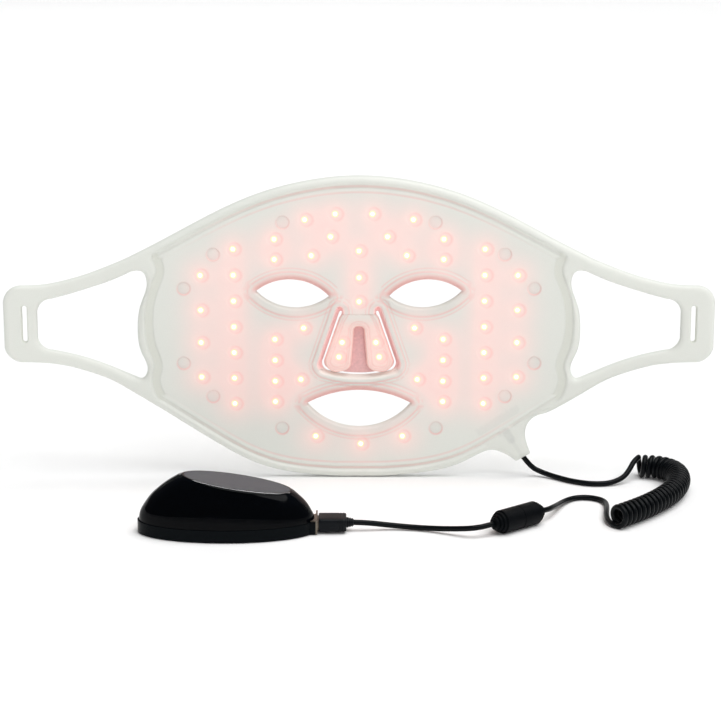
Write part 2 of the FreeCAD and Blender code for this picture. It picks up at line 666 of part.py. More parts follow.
def relief_lead():
    start = V(PLUG_X + HOUSING_SIZE[0], BOX_Y, SOCKET_Z)
    return Part.makeCylinder(CORD_R, RELIEF_LENGTH, start, V(1, 0, 0))


def usb_socket():
    wide, tall = SOCKET_OUTER
    start = BEZEL_X - SOCKET_DEPTH
    inner = block(start + SOCKET_WALL, BEZEL_X + 1, SOCKET_INNER[0], SOCKET_INNER[1])
    return block(start, BEZEL_X, wide, tall).cut(inner)


def socket_tongue():
    start = BEZEL_X - SOCKET_DEPTH + SOCKET_WALL
    low = SOCKET_Z - PLUG_SHELL[1] / 2 + PLUG_SHELL_WALL + 0.1
    return block(start, BEZEL_X - 1.5, SOCKET_TONGUE_WIDTH, TONGUE_THICK - 0.1, low + TONGUE_THICK / 2)


def socket_bezel():
    plate_part = block(BEZEL_X, BEZEL_X + BEZEL_THICK, BEZEL_SIZE[0], BEZEL_SIZE[1])
    return plate_part.cut(block(BEZEL_X - 1, PLUG_X, BEZEL_HOLE[0], BEZEL_HOLE[1]))


# ---- controller ----
def oval(half_length, half_width, z0, z1):
    """An elliptical prism about the controller's upright axis."""
    ellipse = Part.Ellipse(V(BOX_X, BOX_Y, z0), half_length, half_width)
    return Part.Face(Part.Wire([ellipse.toShape()])).extrude(V(0, 0, z1 - z0))


def upright(x, y, radius, z0, z1):
    return Part.makeCylinder(radius, z1 - z0, V(BOX_X + x, BOX_Y + y, z0), Z_AXIS)


def shelf(x0, x1, half, z0, z1):
    return Part.makeBox(x1 - x0, 2 * half, z1 - z0, V(BOX_X + x0, BOX_Y - half, z0))


def tilted_ellipse(left, right, half_width, inset=0.0, sink=0.0):
    """An upright cross-section of the cover: an ellipse whose long axis joins two end points."""
    a = V(BOX_X + left[0], BOX_Y, left[1])
    b = V(BOX_X + right[0], BOX_Y, right[1])
    along = (b - a).normalize()
    normal = V(-along.z, 0, along.x)
    centre = (a + b) * 0.5 - normal * sink
    long_half = (b - a).Length / 2 - inset
    frame = FreeCAD.Placement(centre, FreeCAD.Rotation(along, V(0, 1, 0), normal, "ZXY"))
    ellipse = Part.Ellipse(V(0, 0, 0), long_half, half_width - inset).toShape()
    return Part.Wire([ellipse.transformGeometry(frame.toMatrix())])


def crown_frame():
    """Centre and upward normal of the button's face."""
    left, right, _ = COVER_SECTIONS[-1]
    a = V(BOX_X + left[0], BOX_Y, left[1])
    b = V(BOX_X + right[0], BOX_Y, right[1])
    along = (b - a).normalize()
    return (a + b) * 0.5, V(-along.z, 0, along.x)


def crown_oval(half_length, half_width, high, low):
    """An elliptical prism square to the button's face, from high to low along its normal."""
    left, right, _ = COVER_SECTIONS[-1]
    _, normal = crown_frame()
    inset = V(right[0] - left[0], 0, right[1] - left[1]).Length / 2 - half_length
    wire = tilted_ellipse(left, right, half_width + inset, inset, -high)
    return Part.Face(wire).extrude(normal * (low - high))


def cover_loft(inset, crown_sink):
    wires = []
    for left, right, half in COVER_SECTIONS:
        last = (left, right, half) == COVER_SECTIONS[-1]
        wires.append(tilted_ellipse(left, right, half, inset, crown_sink if last else 0.0))
    return Part.makeLoft(wires, True, False)


def gloss_cover():
    outer = cover_loft(0.0, 0.0)
    cover = outer.cut(cover_loft(WALL, CROWN_THICK))
    for x, y in SCREW_SITES:
        pillar = upright(x, y, PILLAR_R, BASE_TOP, BASE_TOP + 30).common(outer)
        cover = cover.fuse(pillar)
        cover = cover.cut(upright(x, y, SCREW_R, 0, SCREW_TIP + SCREW_END_ROOM))
    centre, normal = crown_frame()
    stem_hole = Part.makeCylinder(STEM_R + BUTTON_GAP, 8.0, centre, -normal)
    well = crown_oval(BUTTON_WELL[0], BUTTON_WELL[1], 1.0, -BUTTON_WELL_DEPTH)
    socket_room = block(BEZEL_X - SOCKET_DEPTH, BEZEL_X, SOCKET_OUTER[0], SOCKET_OUTER[1])
    bezel_room = block(BEZEL_X, BEZEL_X + 3, BEZEL_SIZE[0] + 1, BEZEL_SIZE[1] + 1)
    return cover.cut([stem_hole, well, socket_room, bezel_room]).removeSplitter()


def power_button():
    """The whole satin oval on top of the controller is the button's cap."""
    half_length = BUTTON_WELL[0] - BUTTON_GAP
    half_width = BUTTON_WELL[1] - BUTTON_GAP
    cap = crown_oval(half_length, half_width, 0.0, -BUTTON_THICK)
    centre, normal = crown_frame()
    return cap.fuse(Part.makeCylinder(STEM_R, STEM_LENGTH, centre, -normal)).removeSplitter()


def base_tray():
    tray = oval(BOX_HALF_LENGTH, BOX_HALF_WIDTH, BASE_BOTTOM, BASE_TOP)
    floor = BASE_BOTTOM + WALL
    tray = tray.cut(oval(BOX_HALF_LENGTH - WALL, BOX_HALF_WIDTH - WALL, floor, BASE_TOP))
    boss = shelf(END_FLAT - SOCKET_DEPTH, END_FLAT, BEZEL_SIZE[0] / 2, BASE_BOTTOM, BASE_TOP)
    pillars = [upright(x, y, PILLAR_R, floor, BASE_TOP) for x, y in SCREW_SITES]
    tray = tray.multiFuse([boss] + pillars)
    cutters = [block(BEZEL_X - SOCKET_DEPTH, BEZEL_X + 1, SOCKET_OUTER[0], SOCKET_OUTER[1])]
    cutters.append(shelf(END_FLAT, END_FLAT + 5, BOX_HALF_WIDTH, 0, BASE_TOP + 1))
    for x, y in SCREW_SITES:
        cutters.append(upright(x, y, SCREW_R, 0, BASE_TOP + 1))
        cutters.append(upright(x, y, SCREW_HEAD_R, 0, SCREW_HEAD_TOP))
    cutters += [upright(x, y, FOOT_R, 0, FOOT_THICK) for x, y in FOOT_SITES]
    return tray.cut(cutters).removeSplitter()


def rubber_feet():
    return [upright(x, y, FOOT_R, 0, FOOT_THICK) for x, y in FOOT_SITES]


def case_screws():
    long, wide, deep = SCREW_SLOT
    screws = []
    for x, y in SCREW_SITES:
        head = upright(x, y, SCREW_HEAD_R, BASE_BOTTOM + 0.2, SCREW_HEAD_TOP)
        corner = V(BOX_X + x - long / 2, BOX_Y + y - wide / 2, BASE_BOTTOM)
        head = head.cut(Part.makeBox(long, wide, deep, corner))
        screws.append(head.fuse(upright(x, y, SCREW_R, SCREW_HEAD_TOP, SCREW_TIP)).removeSplitter())
    return screws


def battery_cell():
    x0, x1, half, thick = BATTERY
    floor = BASE_BOTTOM + WALL
    cell = shelf(x0, x1, half, floor, floor + thick)
    upright_edges = [e for e in cell.Edges if abs(e.tangentAt(e.FirstParameter).z) > 0.9]
    return cell.makeFillet(BATTERY_FILLET, upright_edges)


def foam_pad():
    x0, x1, half = FOAM
    return shelf(x0, x1, half, BASE_BOTTOM + WALL + BATTERY[3], BOARD_Z)


def main_board():
    x0, x1, half, thick = BOARD
    return shelf(x0, x1, half, BOARD_Z, BOARD_Z + thick)


def buzzer():
    x, y, radius, height = BUZZER
    top = BOARD_Z + BOARD[3]
    return upright(x, y, radius, top, top + height)


def driver_chips():
    top = BOARD_Z + BOARD[3]
    return [Part.makeBox(w, d, h, V(BOX_X + x - w / 2, BOX_Y + y - d / 2, top)) for x, y, w, d, h in CHIPS]


def tact_switch():
    """The switch under the button's stem; its plunger stops just short of the pressed stem."""
    centre, normal = crown_frame()
    stem_end = centre - normal * (STEM_LENGTH + BUTTON_TRAVEL + SWITCH_CLEAR)
    wide, deep, tall = SWITCH_SIZE
    top = BOARD_Z + BOARD[3]
    body = Part.makeBox(wide, deep, tall, V(stem_end.x - wide / 2, BOX_Y - deep / 2, top))
    room = stem_end.z - PLUNGER_TILT_ROOM - (top + tall)
    plunger = Part.makeCylinder(PLUNGER_R, room, V(stem_end.x, BOX_Y, top + tall), Z_AXIS)
    return body.fuse(plunger).removeSplitter()


def main():
    os.makedirs("parts", exist_ok=True)
    flex_front = SHELL_FLOOR + FLEX_THICK
    single = [outer_shell, inner_skin, flex_circuit, nose_flap_back, nose_flex, nose_flap_legs,
              left_wing, right_wing, cable_boot, boot_lead, cable_crimp, junction_board,
              ferrite_cover, ferrite_core, core_lead, plug_shell, plug_tongue, plug_housing,
              plug_strain_relief, relief_lead, usb_socket, socket_tongue, socket_bezel,
              gloss_cover, power_button, base_tray, battery_cell, foam_pad, main_board,
              buzzer, tact_switch]
    groups = [locating_pegs, junction_resistors, plug_contacts, rubber_feet, case_screws, driver_chips]
    for make in single:
        save(make.__name__, [make()])
    for make in groups:
        save(make.__name__, make())
    for name, sites in led_groups().items():
        save(name, [diode(x, z, flex_front) for x, z in sites])
    save("nose_leds", [diode(x, z, flex_front) for x, z in nose_led_sites()])
    save("mask_lead", [tube(MASK_LEAD, CORD_R, "mask_lead")])
    save("cord_coil", [tube(COIL_ROUTE, COIL_R, "cord_coil")])
    save("middle_lead", [tube(MIDDLE_LEAD, CORD_R, "middle_lead")])
    save("plug_lead", [tube(PLUG_LEAD, CORD_R, "plug_lead")])


main()
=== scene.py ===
import math
import bpy
import numpy as np
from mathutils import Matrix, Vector
from mathutils.geometry import delaunay_2d_cdt
from mathutils.kdtree import KDTree


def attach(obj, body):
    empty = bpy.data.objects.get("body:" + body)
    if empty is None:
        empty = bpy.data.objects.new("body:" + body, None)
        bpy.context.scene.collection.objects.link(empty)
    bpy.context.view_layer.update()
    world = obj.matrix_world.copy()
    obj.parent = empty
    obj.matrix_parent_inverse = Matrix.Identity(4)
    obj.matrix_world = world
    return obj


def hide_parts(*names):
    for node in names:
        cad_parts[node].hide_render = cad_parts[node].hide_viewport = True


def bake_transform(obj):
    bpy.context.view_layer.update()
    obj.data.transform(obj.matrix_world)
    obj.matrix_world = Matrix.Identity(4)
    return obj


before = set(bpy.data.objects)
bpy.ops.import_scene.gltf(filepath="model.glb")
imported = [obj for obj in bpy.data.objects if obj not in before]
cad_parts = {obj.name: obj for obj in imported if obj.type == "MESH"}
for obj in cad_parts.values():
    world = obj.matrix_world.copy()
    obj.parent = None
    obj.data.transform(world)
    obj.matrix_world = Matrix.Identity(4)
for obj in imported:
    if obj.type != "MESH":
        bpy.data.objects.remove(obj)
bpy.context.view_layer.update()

MM = 0.001


def add_object(name, data, finish=None):
    """A new object in the scene, with its finish if it has a surface."""
    obj = bpy.data.objects.new(name, data)
    if finish:
        data.materials.append(finish)
    bpy.context.scene.collection.objects.link(obj)
    return obj


# ---- camera
def add_camera():
    """A long lens, straight in front of the mask and a little above it."""
    target = Vector((0.0009, 0.060, 0.07327))
    elevation = math.radians(14.0)
    distance = 1.400
    data = bpy.data.cameras.new("camera")
    data.lens = 116.5
    data.sensor_width = 36.0
    data.clip_end = 20.0
    camera = add_object("camera", data)
    camera.location = target + Vector((0, -math.cos(elevation), math.sin(elevation))) * distance
    camera.rotation_euler = (math.pi / 2 - elevation, 0, 0)
    bpy.context.scene.camera = camera


add_camera()


# ---- materials
def linear(colour):
    """Linear light values of an sRGB colour given as 0..255."""
    c = np.array(colour, float) / 255.0
    return np.where(c <= 0.04045, c / 12.92, ((c + 0.055) / 1.055) ** 2.4)


def node(tree, kind, inputs=(), **settings):
    """A shader node with its settings and the values of its sockets."""
    made = tree.nodes.new("ShaderNode" + kind)
    for name, value in settings.items():
        setattr(made, name, value)
    for name, value in inputs:
        made.inputs[name].default_value = value
    return made


def material(name, colour, rough, vary=0.06, grain=900.0, bump=0.05, rough_vary=0.06,
             attribute=None, glow=None, **sockets):
    """A procedural finish: grain in the colour, the roughness and a bump.

    A colour attribute of the mesh can stand in for the colour, and another give what it emits.
    """
    mat = bpy.data.materials.new(name)
    mat.use_nodes = True
    tree = mat.node_tree
    link = tree.links.new
    shader = tree.nodes["Principled BSDF"]
    for socket, value in sockets.items():
        shader.inputs[socket.replace("_", " ")].default_value = value
    coords = node(tree, "TexCoord")
    noise = node(tree, "TexNoise", (("Scale", grain), ("Detail", 3.0)))
    link(coords.outputs["Object"], noise.inputs["Vector"])
    shade = node(tree, "MapRange", (("From Min", 0.3), ("From Max", 0.7), ("To Min", 1.0 - vary),
                                    ("To Max", 1.0 + vary)))
    link(noise.outputs["Fac"], shade.inputs["Value"])
    tint = node(tree, "VectorMath", operation="SCALE")
    if attribute:
        source = node(tree, "Attribute", attribute_name=attribute)
        link(source.outputs["Color"], tint.inputs[0])
    else:
        tint.inputs[0].default_value = linear(colour)
    link(shade.outputs["Result"], tint.inputs["Scale"])
    link(tint.outputs["Vector"], shader.inputs["Base Color"])
    polish = node(tree, "MapRange", (("To Min", max(0.0, rough - rough_vary)),
                                     ("To Max", min(1.0, rough + rough_vary))))
    link(noise.outputs["Fac"], polish.inputs["Value"])
    link(polish.outputs["Result"], shader.inputs["Roughness"])
    if bump:
        relief = node(tree, "Bump", (("Strength", bump), ("Distance", 0.0002)))
        link(noise.outputs["Fac"], relief.inputs["Height"])
        link(relief.outputs["Normal"], shader.inputs["Normal"])
    if glow:
        source = node(tree, "Attribute", attribute_name=glow)
        link(source.outputs["Color"], shader.inputs["Emission Color"])
        shader.inputs["Emission Strength"].default_value = 1.0
    return mat


SILICONE = material("silicone", None, 0.42, vary=0.015, grain=2600, bump=0.06,
                    attribute="tint", glow="light", Specular_IOR_Level=0.35)
JACKET = material("cord_jacket", (5, 8, 11), 0.3, vary=0.25, grain=1500, Specular_IOR_Level=0.12)
CHOKE = material("choke_plastic", (4, 6, 9), 0.5, vary=0.35, grain=1800, bump=0.6, Specular_IOR_Level=0.07)
PLUG = material("plug_plastic", (12, 15, 19), 0.42, vary=0.25, grain=2200, bump=0.25, Specular_IOR_Level=0.12)
GLOSS = material("cover_gloss", (2, 3, 5), 0.06, vary=0.2, grain=300, bump=0.004, rough_vary=0.02,
                 Specular_IOR_Level=0.07)
TRAY = material("tray_plastic", (5, 9, 12), 0.16, vary=0.2, grain=600, bump=0.01, rough_vary=0.03,
                Specular_IOR_Level=0.05)
SATIN = material("button_satin", (48, 60, 69), 0.42, vary=0.16, grain=4200, bump=0.25)
RUBBER = material("foot_rubber", (16, 16, 17), 0.7, vary=0.2, bump=0.4)
STEEL = material("screw_steel", (150, 150, 152), 0.3, vary=0.12, grain=2500, Metallic=1.0)
NICKEL = material("bezel_metal", (112, 105, 95), 0.34, vary=0.08, grain=2500, Metallic=1.0)
GOLD = material("contact_metal", (214, 176, 96), 0.25, vary=0.1, grain=2500, Metallic=1.0)
CRIMP = material("crimp_metal", (170, 170, 168), 0.35, vary=0.1, Metallic=1.0)
BOARD = material("circuit_board", (232, 232, 226), 0.5, grain=500, bump=0.1)
CHIP = material("chip_black", (18, 18, 19), 0.45, vary=0.15, grain=3000, bump=0.2)
FERRITE = material("ferrite", (40, 40, 42), 0.6, vary=0.25, grain=2500, bump=0.5)
FILM = material("flex_film", (238, 226, 218), 0.35, vary=0.05, grain=300, bump=0.03)
LENS = material("led_lens", (255, 246, 226), 0.2, vary=0.04, grain=2000, bump=0.02,
                Emission_Color=(1.0, 0.86, 0.72, 1.0), Emission_Strength=2.0)
INSULATOR = material("insulator", (235, 235, 230), 0.45, vary=0.05, grain=1500, bump=0.1)
WRAP = material("battery_wrap", (60, 92, 140), 0.35, vary=0.1, grain=200, bump=0.1)
FOAM = material("foam", (58, 58, 60), 0.95, vary=0.3, grain=1400, bump=0.9)
# painted shade and diode light: the flap's back in the mauve pink it shows in shade under the diodes' glow
FLAP_SHADED_GLOW = material("flap_back_silicone", (236, 188, 187), 0.5, vary=0.07, grain=700, bump=0.1)
PEG = material("peg_silicone", (222, 224, 217), 0.45, vary=0.03, grain=1800, bump=0.06)

NODE_FINISH = {
    FILM: ["flex_circuit", "nose_flex"], FLAP_SHADED_GLOW: ["nose_flap_back"], PEG: ["locating_pegs"],
    LENS: ["left_cheek_leds", "right_cheek_leds", "forehead_leds", "chin_leds", "nose_leds"],
    BOARD: ["junction_board", "main_board"],
    CHIP: ["junction_resistors", "driver_chips", "buzzer", "tact_switch"],
    CRIMP: ["cable_crimp"], JACKET: ["boot_lead"], FERRITE: ["ferrite_core"],
    NICKEL: ["socket_bezel", "usb_socket", "plug_shell"], GOLD: ["plug_contacts"],
    INSULATOR: ["plug_tongue", "socket_tongue"], TRAY: ["base_tray"], SATIN: ["power_button"],
    RUBBER: ["rubber_feet"], STEEL: ["case_screws"], WRAP: ["battery_cell"], FOAM: ["foam_pad"],
}
for finish, names in NODE_FINISH.items():
    for name in names:
        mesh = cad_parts[name].data
        mesh.materials.clear()
        mesh.materials.append(finish)


# ---- cord
CORD_R = 1.6
# control points: mask to curly part, the line that part winds about, choke to curly part, plug to choke
MASK_LEAD = [(99.8, 63.5, 12.2), (104.2, 63.4, 5.9), (111.6, 61.6, 2.6), (120, 54.6, 1.7),
             (129, 46, 1.7), (140, 41, 1.7), (150.6, 42, 1.8), (158.8, 46.4, 3.8),
             (163, 51, 7.4), (166.2, 56.6, 11.2)]
COIL_ROUTE = [(169.5, 61, 7), (177.3, 61, 7), (185.7, 56.2, 7), (190.5, 47.8, 7),
              (191.2, 37, 7), (189.2, 24.5, 7), (184.5, 10.5, 7), (176.5, -4, 7),
              (166.5, -18, 7), (155.5, -30.5, 7), (146, -39.8, 7)]
MIDDLE_LEAD = [(103.6, -27.6, 6.7), (108.4, -23.4, 6.3), (112.2, -15.2, 5.2), (115.4, -6, 3.6),
               (119.2, 4, 2.2), (124.6, 11.8, 1.7), (130, 14.3, 1.7), (136, 13.9, 1.7),
               (141.1, 10.7, 1.7), (144, 5.5, 1.7), (144, -3.4, 2.2), (142.8, -14, 3.2),
               (141.4, -25.6, 3.2), (142, -34.4, 2.2)]
PLUG_LEAD = [(-2.9, -43.4, 5), (6, -43.3, 4.6), (17, -41.6, 2.8), (29.5, -42.4, 1.8),
             (42.5, -46.2, 2.2), (54.5, -52, 3.9), (65.6, -57.2, 6), (76, -51.4, 6.7)]
RELIEF_START = (-7.1, -43.4, 5)
COIL_TURNS = 31.5
COIL_TURN_POINTS = 14
COIL_CONTROL_R = 5.5
UP = Vector((0, 0, 1))


def nurbs(name, points, radius):
    """A smooth line through a route's control points."""
    curve = bpy.data.curves.new(name, "CURVE")
    curve.dimensions = "3D"
    curve.bevel_depth = radius * MM
    curve.bevel_resolution = 6
    curve.resolution_u = 8
    curve.use_fill_caps = True
    spline = curve.splines.new("NURBS")
    spline.points.add(len(points) - 1)
    for point, place in zip(spline.points, points):
        point.co = (place[0] * MM, place[1] * MM, place[2] * MM, 1)
    spline.order_u = 3
    spline.use_endpoint_u = True
    return curve


def route_line(points):
    """Points along the route's own spline."""
    curve = nurbs("route", points, 0)
    obj = bpy.data.objects.new("route", curve)
    mesh = bpy.data.meshes.new_from_object(obj)
    line = np.array([v.co for v in mesh.vertices]) / MM
    bpy.data.objects.remove(obj)
    bpy.data.meshes.remove(mesh)
    bpy.data.curves.remove(curve)
    return line


def helix(route):
    """The curly part: turns wound about the route's line, evenly along it."""
    line = route_line(route)
    steps = np.linalg.norm(np.diff(line, axis=0), axis=1)
    along = np.concatenate([[0], np.cumsum(steps)])
    count = int(COIL_TURNS * COIL_TURN_POINTS)
    turns = []
    look = 2.0
    for i in range(count + 1):
        s = along[-1] * i / count
        behind, centre, ahead = (Vector([float(np.interp(at, along, line[:, k])) for k in range(3)])
                                 for at in (max(s - look, 0), s, min(s + look, along[-1])))
        side = UP.cross(ahead - behind).normalized()
        angle = 2 * math.pi * COIL_TURNS * i / count
        turns.append(centre + (side * math.sin(angle) + UP * math.cos(angle)) * COIL_CONTROL_R)
    return turns


cord_points = MASK_LEAD + helix(COIL_ROUTE) + MIDDLE_LEAD[::-1] + PLUG_LEAD[::-1] + [RELIEF_START]
cord = add_object("curly_cord", nurbs("curly_cord", cord_points, CORD_R), JACKET)


def skin_over(name, rows, finish, sharp):
    """A capped skin over rings of points, creased where faces turn more than sharp degrees."""
    count = len(rows[0])
    verts = [place * MM for row in rows for place in row]
    faces = [tuple(range(count))[::-1]]
    for row in range(len(rows) - 1):
        for k in range(count):
            a, b = row * count + k, row * count + (k + 1) % count
            faces.append((a, b, b + count, a + count))
    faces.append(tuple(range((len(rows) - 1) * count, len(rows) * count)))
    mesh = bpy.data.meshes.new(name)
    mesh.from_pydata(verts, [], faces)
    mesh.shade_smooth()
    mesh.set_sharp_from_angle(angle=math.radians(sharp))
    return add_object(name, mesh, finish)


def lathe(name, profile, start, axis, finish, segments):
    """A turned solid: a profile of (distance along, radius) about an axis."""
    axis = Vector(axis).normalized()
    side = axis.cross(UP).normalized()
    up = side.cross(axis)
    rows = []
    for along, radius in profile:
        angles = [2 * math.pi * k / segments for k in range(segments)]
        rows.append([Vector(start) + axis * along + (side * math.cos(a) + up * math.sin(a)) * radius
                     for a in angles])
    return skin_over(name, rows, finish, 38)


def choke():
    """The choke's moulded cover, with three steps down at each end and a seam round its middle."""
    start, end = Vector(PLUG_LEAD[-1]), Vector(MIDDLE_LEAD[0])
    centre = (start + end) / 2
    half, body_r, edge = 13.4, 6.7, 0.35
    right = [(half - 6, body_r), (half - edge, body_r), (half, body_r - edge)]
    reach = half
    for radius, length in ((5.8, 1.9), (4.7, 1.7), (3.5, 1.7)):
        right += [(reach + 0.02, radius + 0.05), (reach + length - edge, radius),
                  (reach + length, radius - edge)]
        reach += length
    right.append((reach, CORD_R + 0.02))
    seam = [(-0.45, body_r), (-0.3, body_r - 0.2), (0.3, body_r - 0.2), (0.45, body_r)]
    profile = [(-a, r) for a, r in reversed(right)] + seam + right
    return lathe("choke_cover", profile, centre, end - start, CHOKE, 72)


def plug_body():
    """The plug's moulded grip: squared-off ovals along x, with two grooves near the cord."""
    x0, x1 = -22.7, RELIEF_START[0]
    sections = [(x0, 6.9, 3.7), (x0 + 0.25, 7.2, 4), (x0 + 0.6, 7.3, 4.1), (x0 + 3, 7.3, 4.1)]
    for x in (x0 + 11.4, x0 + 12.9):
        sections += [(x, 7.3, 4.1), (x + 0.2, 7.15, 3.95), (x + 0.5, 7.15, 3.95), (x + 0.7, 7.3, 4.1)]
    sections += [(x1 - 1.6, 7.3, 4.1), (x1 - 0.5, 7.1, 3.95), (x1 - 0.15, 6.9, 3.75), (x1, 6.5, 3.4)]
    count, power = 64, 5.0
    rows = []
    for x, wide, tall in sections:
        row = []
        for k in range(count):
            a = 2 * math.pi * (k + 0.5) / count
            c, s = math.cos(a), math.sin(a)
            y = wide * math.copysign(abs(c) ** (2 / power), c)
            z = tall * math.copysign(abs(s) ** (2 / power), s)
            row.append(Vector((x, RELIEF_START[1] + y, RELIEF_START[2] + z)))
        rows.append(row)
    return skin_over("plug_body", rows, PLUG, 35)


def plug_relief():
    """The ribbed strain relief behind the plug's grip."""
    profile = [(0, 3), (0.5, 3)]
    for rib, radius in enumerate((2.95, 2.7, 2.45)):
        x = 0.6 + rib * 1.2
        profile += [(x, radius), (x + 0.7, radius - 0.1), (x + 0.8, radius - 0.5), (x + 1.1, radius - 0.5)]
    profile += [(4.15, 2), (4.2, CORD_R + 0.02)]
    return lathe("plug_relief", profile, RELIEF_START, (1, 0, 0), PLUG, 48)


choke_piece = choke()
plug_piece = plug_body()
relief_piece = plug_relief()
for piece in (cord, choke_piece, plug_piece, relief_piece):
    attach(piece, "mask")
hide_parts("mask_lead", "cord_coil", "middle_lead", "core_lead", "plug_lead", "relief_lead")
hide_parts("ferrite_cover")
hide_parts("plug_housing")
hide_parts("plug_strain_relief")


# ---- outlines of the mask, as (x, z) points
def smooth(points, step=1.2):
    """A natural cubic spline through (x, z) points, sampled about every step."""
    p = np.array(points, float)
    n = len(p)
    t = np.concatenate([[0], np.cumsum(np.linalg.norm(np.diff(p, axis=0), axis=1))])
    h = np.diff(t)
    system = np.eye(n)
    right = np.zeros((n, 2))
    for i in range(1, n - 1):
        system[i, i - 1:i + 2] = h[i - 1], 2 * (h[i - 1] + h[i]), h[i]
        right[i] = 6 * ((p[i + 1] - p[i]) / h[i] - (p[i] - p[i - 1]) / h[i - 1])
    m = np.linalg.solve(system, right)
    s = np.linspace(0, t[-1], max(2, int(round(t[-1] / step)) + 1))
    k = np.clip(np.searchsorted(t, s, side="right") - 1, 0, n - 2)
    u = (s - t[k])[:, None]
    hk = h[k][:, None]
    return (p[k] + u * ((p[k + 1] - p[k]) / hk - hk * (2 * m[k] + m[k + 1]) / 6)
            + u ** 2 * m[k] / 2 + u ** 3 * (m[k + 1] - m[k]) / (6 * hk))


def arc(a, b, c, step=1):
    """The arc from a through b to c."""
    (ax, ay), (bx, by), (cx, cy) = a, b, c
    d = 2 * (ax * (by - cy) + bx * (cy - ay) + cx * (ay - by))
    aa, bb, cc = ax * ax + ay * ay, bx * bx + by * by, cx * cx + cy * cy
    ux = (aa * (by - cy) + bb * (cy - ay) + cc * (ay - by)) / d
    uy = (aa * (cx - bx) + bb * (ax - cx) + cc * (bx - ax)) / d
    r = math.hypot(ax - ux, ay - uy)
    start, middle, end = (math.atan2(y - uy, x - ux) for x, y in (a, b, c))
    turn = (end - start) % (2 * math.pi)
    if (middle - start) % (2 * math.pi) > turn:
        turn -= 2 * math.pi
    count = max(3, int(abs(turn) * r / step) + 1)
    angles = start + turn * np.linspace(0, 1, count)
    return np.column_stack([ux + r * np.cos(angles), uy + r * np.sin(angles)])


def straight(a, b, step=1.2):
    """The straight line from a to b."""
    count = max(2, int(math.dist(a, b) / step) + 1)
    return np.linspace(a, b, count)


def joined(*chains):
    """One line from several that meet end to end."""
    points = np.vstack(chains)
    keep = np.linalg.norm(np.diff(points, axis=0), axis=1) > 1e-3
    return np.vstack([points[:1], points[1:][keep]])


def flip(chain):
    """The line on the other half of the mask, run the other way."""
    return (np.array(chain) * (-1, 1))[::-1]


# where the mask's mesh meets a wing's, and the spacing of points there
CUT_X = 134.0
CUT_STEP = 0.4
ARM_LOW = [(138, 54.1), (148, 59.9), (162, 65.3), (176, 69.2), (188, 70.8), (201, 71.3)]
ARM_TOP = [(201, 118.6), (188, 119.3), (176, 121.7), (162, 125.8), (148, 131.2), (138, 135.5)]
BROW = [(135.2, 136.9), (119, 145.2), (90, 160.8), (61, 173.9), (33, 181.6)]
loop_line = smooth([
    (184, 79.2), (175, 77.4), (161, 73.6), (148, 68.7), (138, 64.3), (134.4, 62.7), (130.2, 61.8), (127.4, 66),
    (130.6, 77), (132.7, 91.5), (130.6, 107), (126.8, 121.5), (129.4, 126.9), (134.4, 127.4), (138, 126),
    (148, 121.6), (161, 117.1), (175, 112.8), (184, 110.4)])


def crossing(chain, x):
    """The line with a point added wherever it crosses x."""
    out = [chain[0]]
    for a, b in zip(chain, chain[1:]):
        if (a[0] - x) * (b[0] - x) < 0:
            out.append(a + (b - a) * (x - a[0]) / (b[0] - a[0]))
        out.append(b)
    return np.array(out)


low_plain = smooth([(14, 0), (40, 2.6), (61, 8), (90, 23.6), (119, 42.2), (135.2, 52.4)] + ARM_LOW)
low_boot = joined(
    smooth([(14, 0), (40, 2.6), (61, 8), (74, 14.6), (80.6, 16.6), (86, 15.2), (91.6, 12.3),
            (94.6, 9.9)]),
    straight((94.9, 9.7), (95.9, 9.6), 0.4), straight((96.2, 9.8), (103.2, 13.9)),
    straight((103.6, 14.3), (103.8, 15.2), 0.4),
    smooth([(103.3, 16.4), (101.2, 22.8), (100.9, 29.4), (103, 34.4), (107.4, 38), (113, 39.8),
            (119, 42.6), (135.2, 52.4)] + ARM_LOW))
top_line = smooth(ARM_TOP + BROW + [(0, 185)] + [(-x, z) for x, z in BROW[::-1] + ARM_TOP[::-1]])
wing_end = joined(arc((201, 71.3), (209.15, 73.9), (212.9, 80.5)), straight((212.9, 80.5), (212.9, 108)),
                  arc((212.9, 108), (209.15, 115.8), (201, 118.6)))
loop_end = joined(arc((184, 110.4), (189.85, 108), (192.5, 103)), straight((192.5, 103), (192.5, 86.5)),
                  arc((192.5, 86.5), (189.85, 81.6), (184, 79.2)))
# corners of the eyes and mouth, and the rise of an eye from its inner to its outer corner
EYE_IN, EYE_OUT, MOUTH_END = (18, 112.1), (61.3, 115.3), (31, 46.2)
EYE_SLOPE = 0.0739
eye_right = joined(arc(EYE_OUT, (39.6, 122.2), EYE_IN), arc(EYE_IN, (39.6, 105.2), EYE_OUT))[:-1]
mouth = joined(arc((-MOUTH_END[0], MOUTH_END[1]), (0, 54.2), MOUTH_END),
               arc(MOUTH_END, (0, 31.4), (-MOUTH_END[0], MOUTH_END[1])))[:-1]
slot = joined(arc((198.9, 85.5), (200.2, 84.2), (201.5, 85.5), 0.6), straight((201.5, 85.5), (201.5, 104.9)),
              arc((201.5, 104.9), (200.2, 106.2), (198.9, 104.9), 0.6),
              straight((198.9, 104.9), (198.9, 85.5)))[:-1]

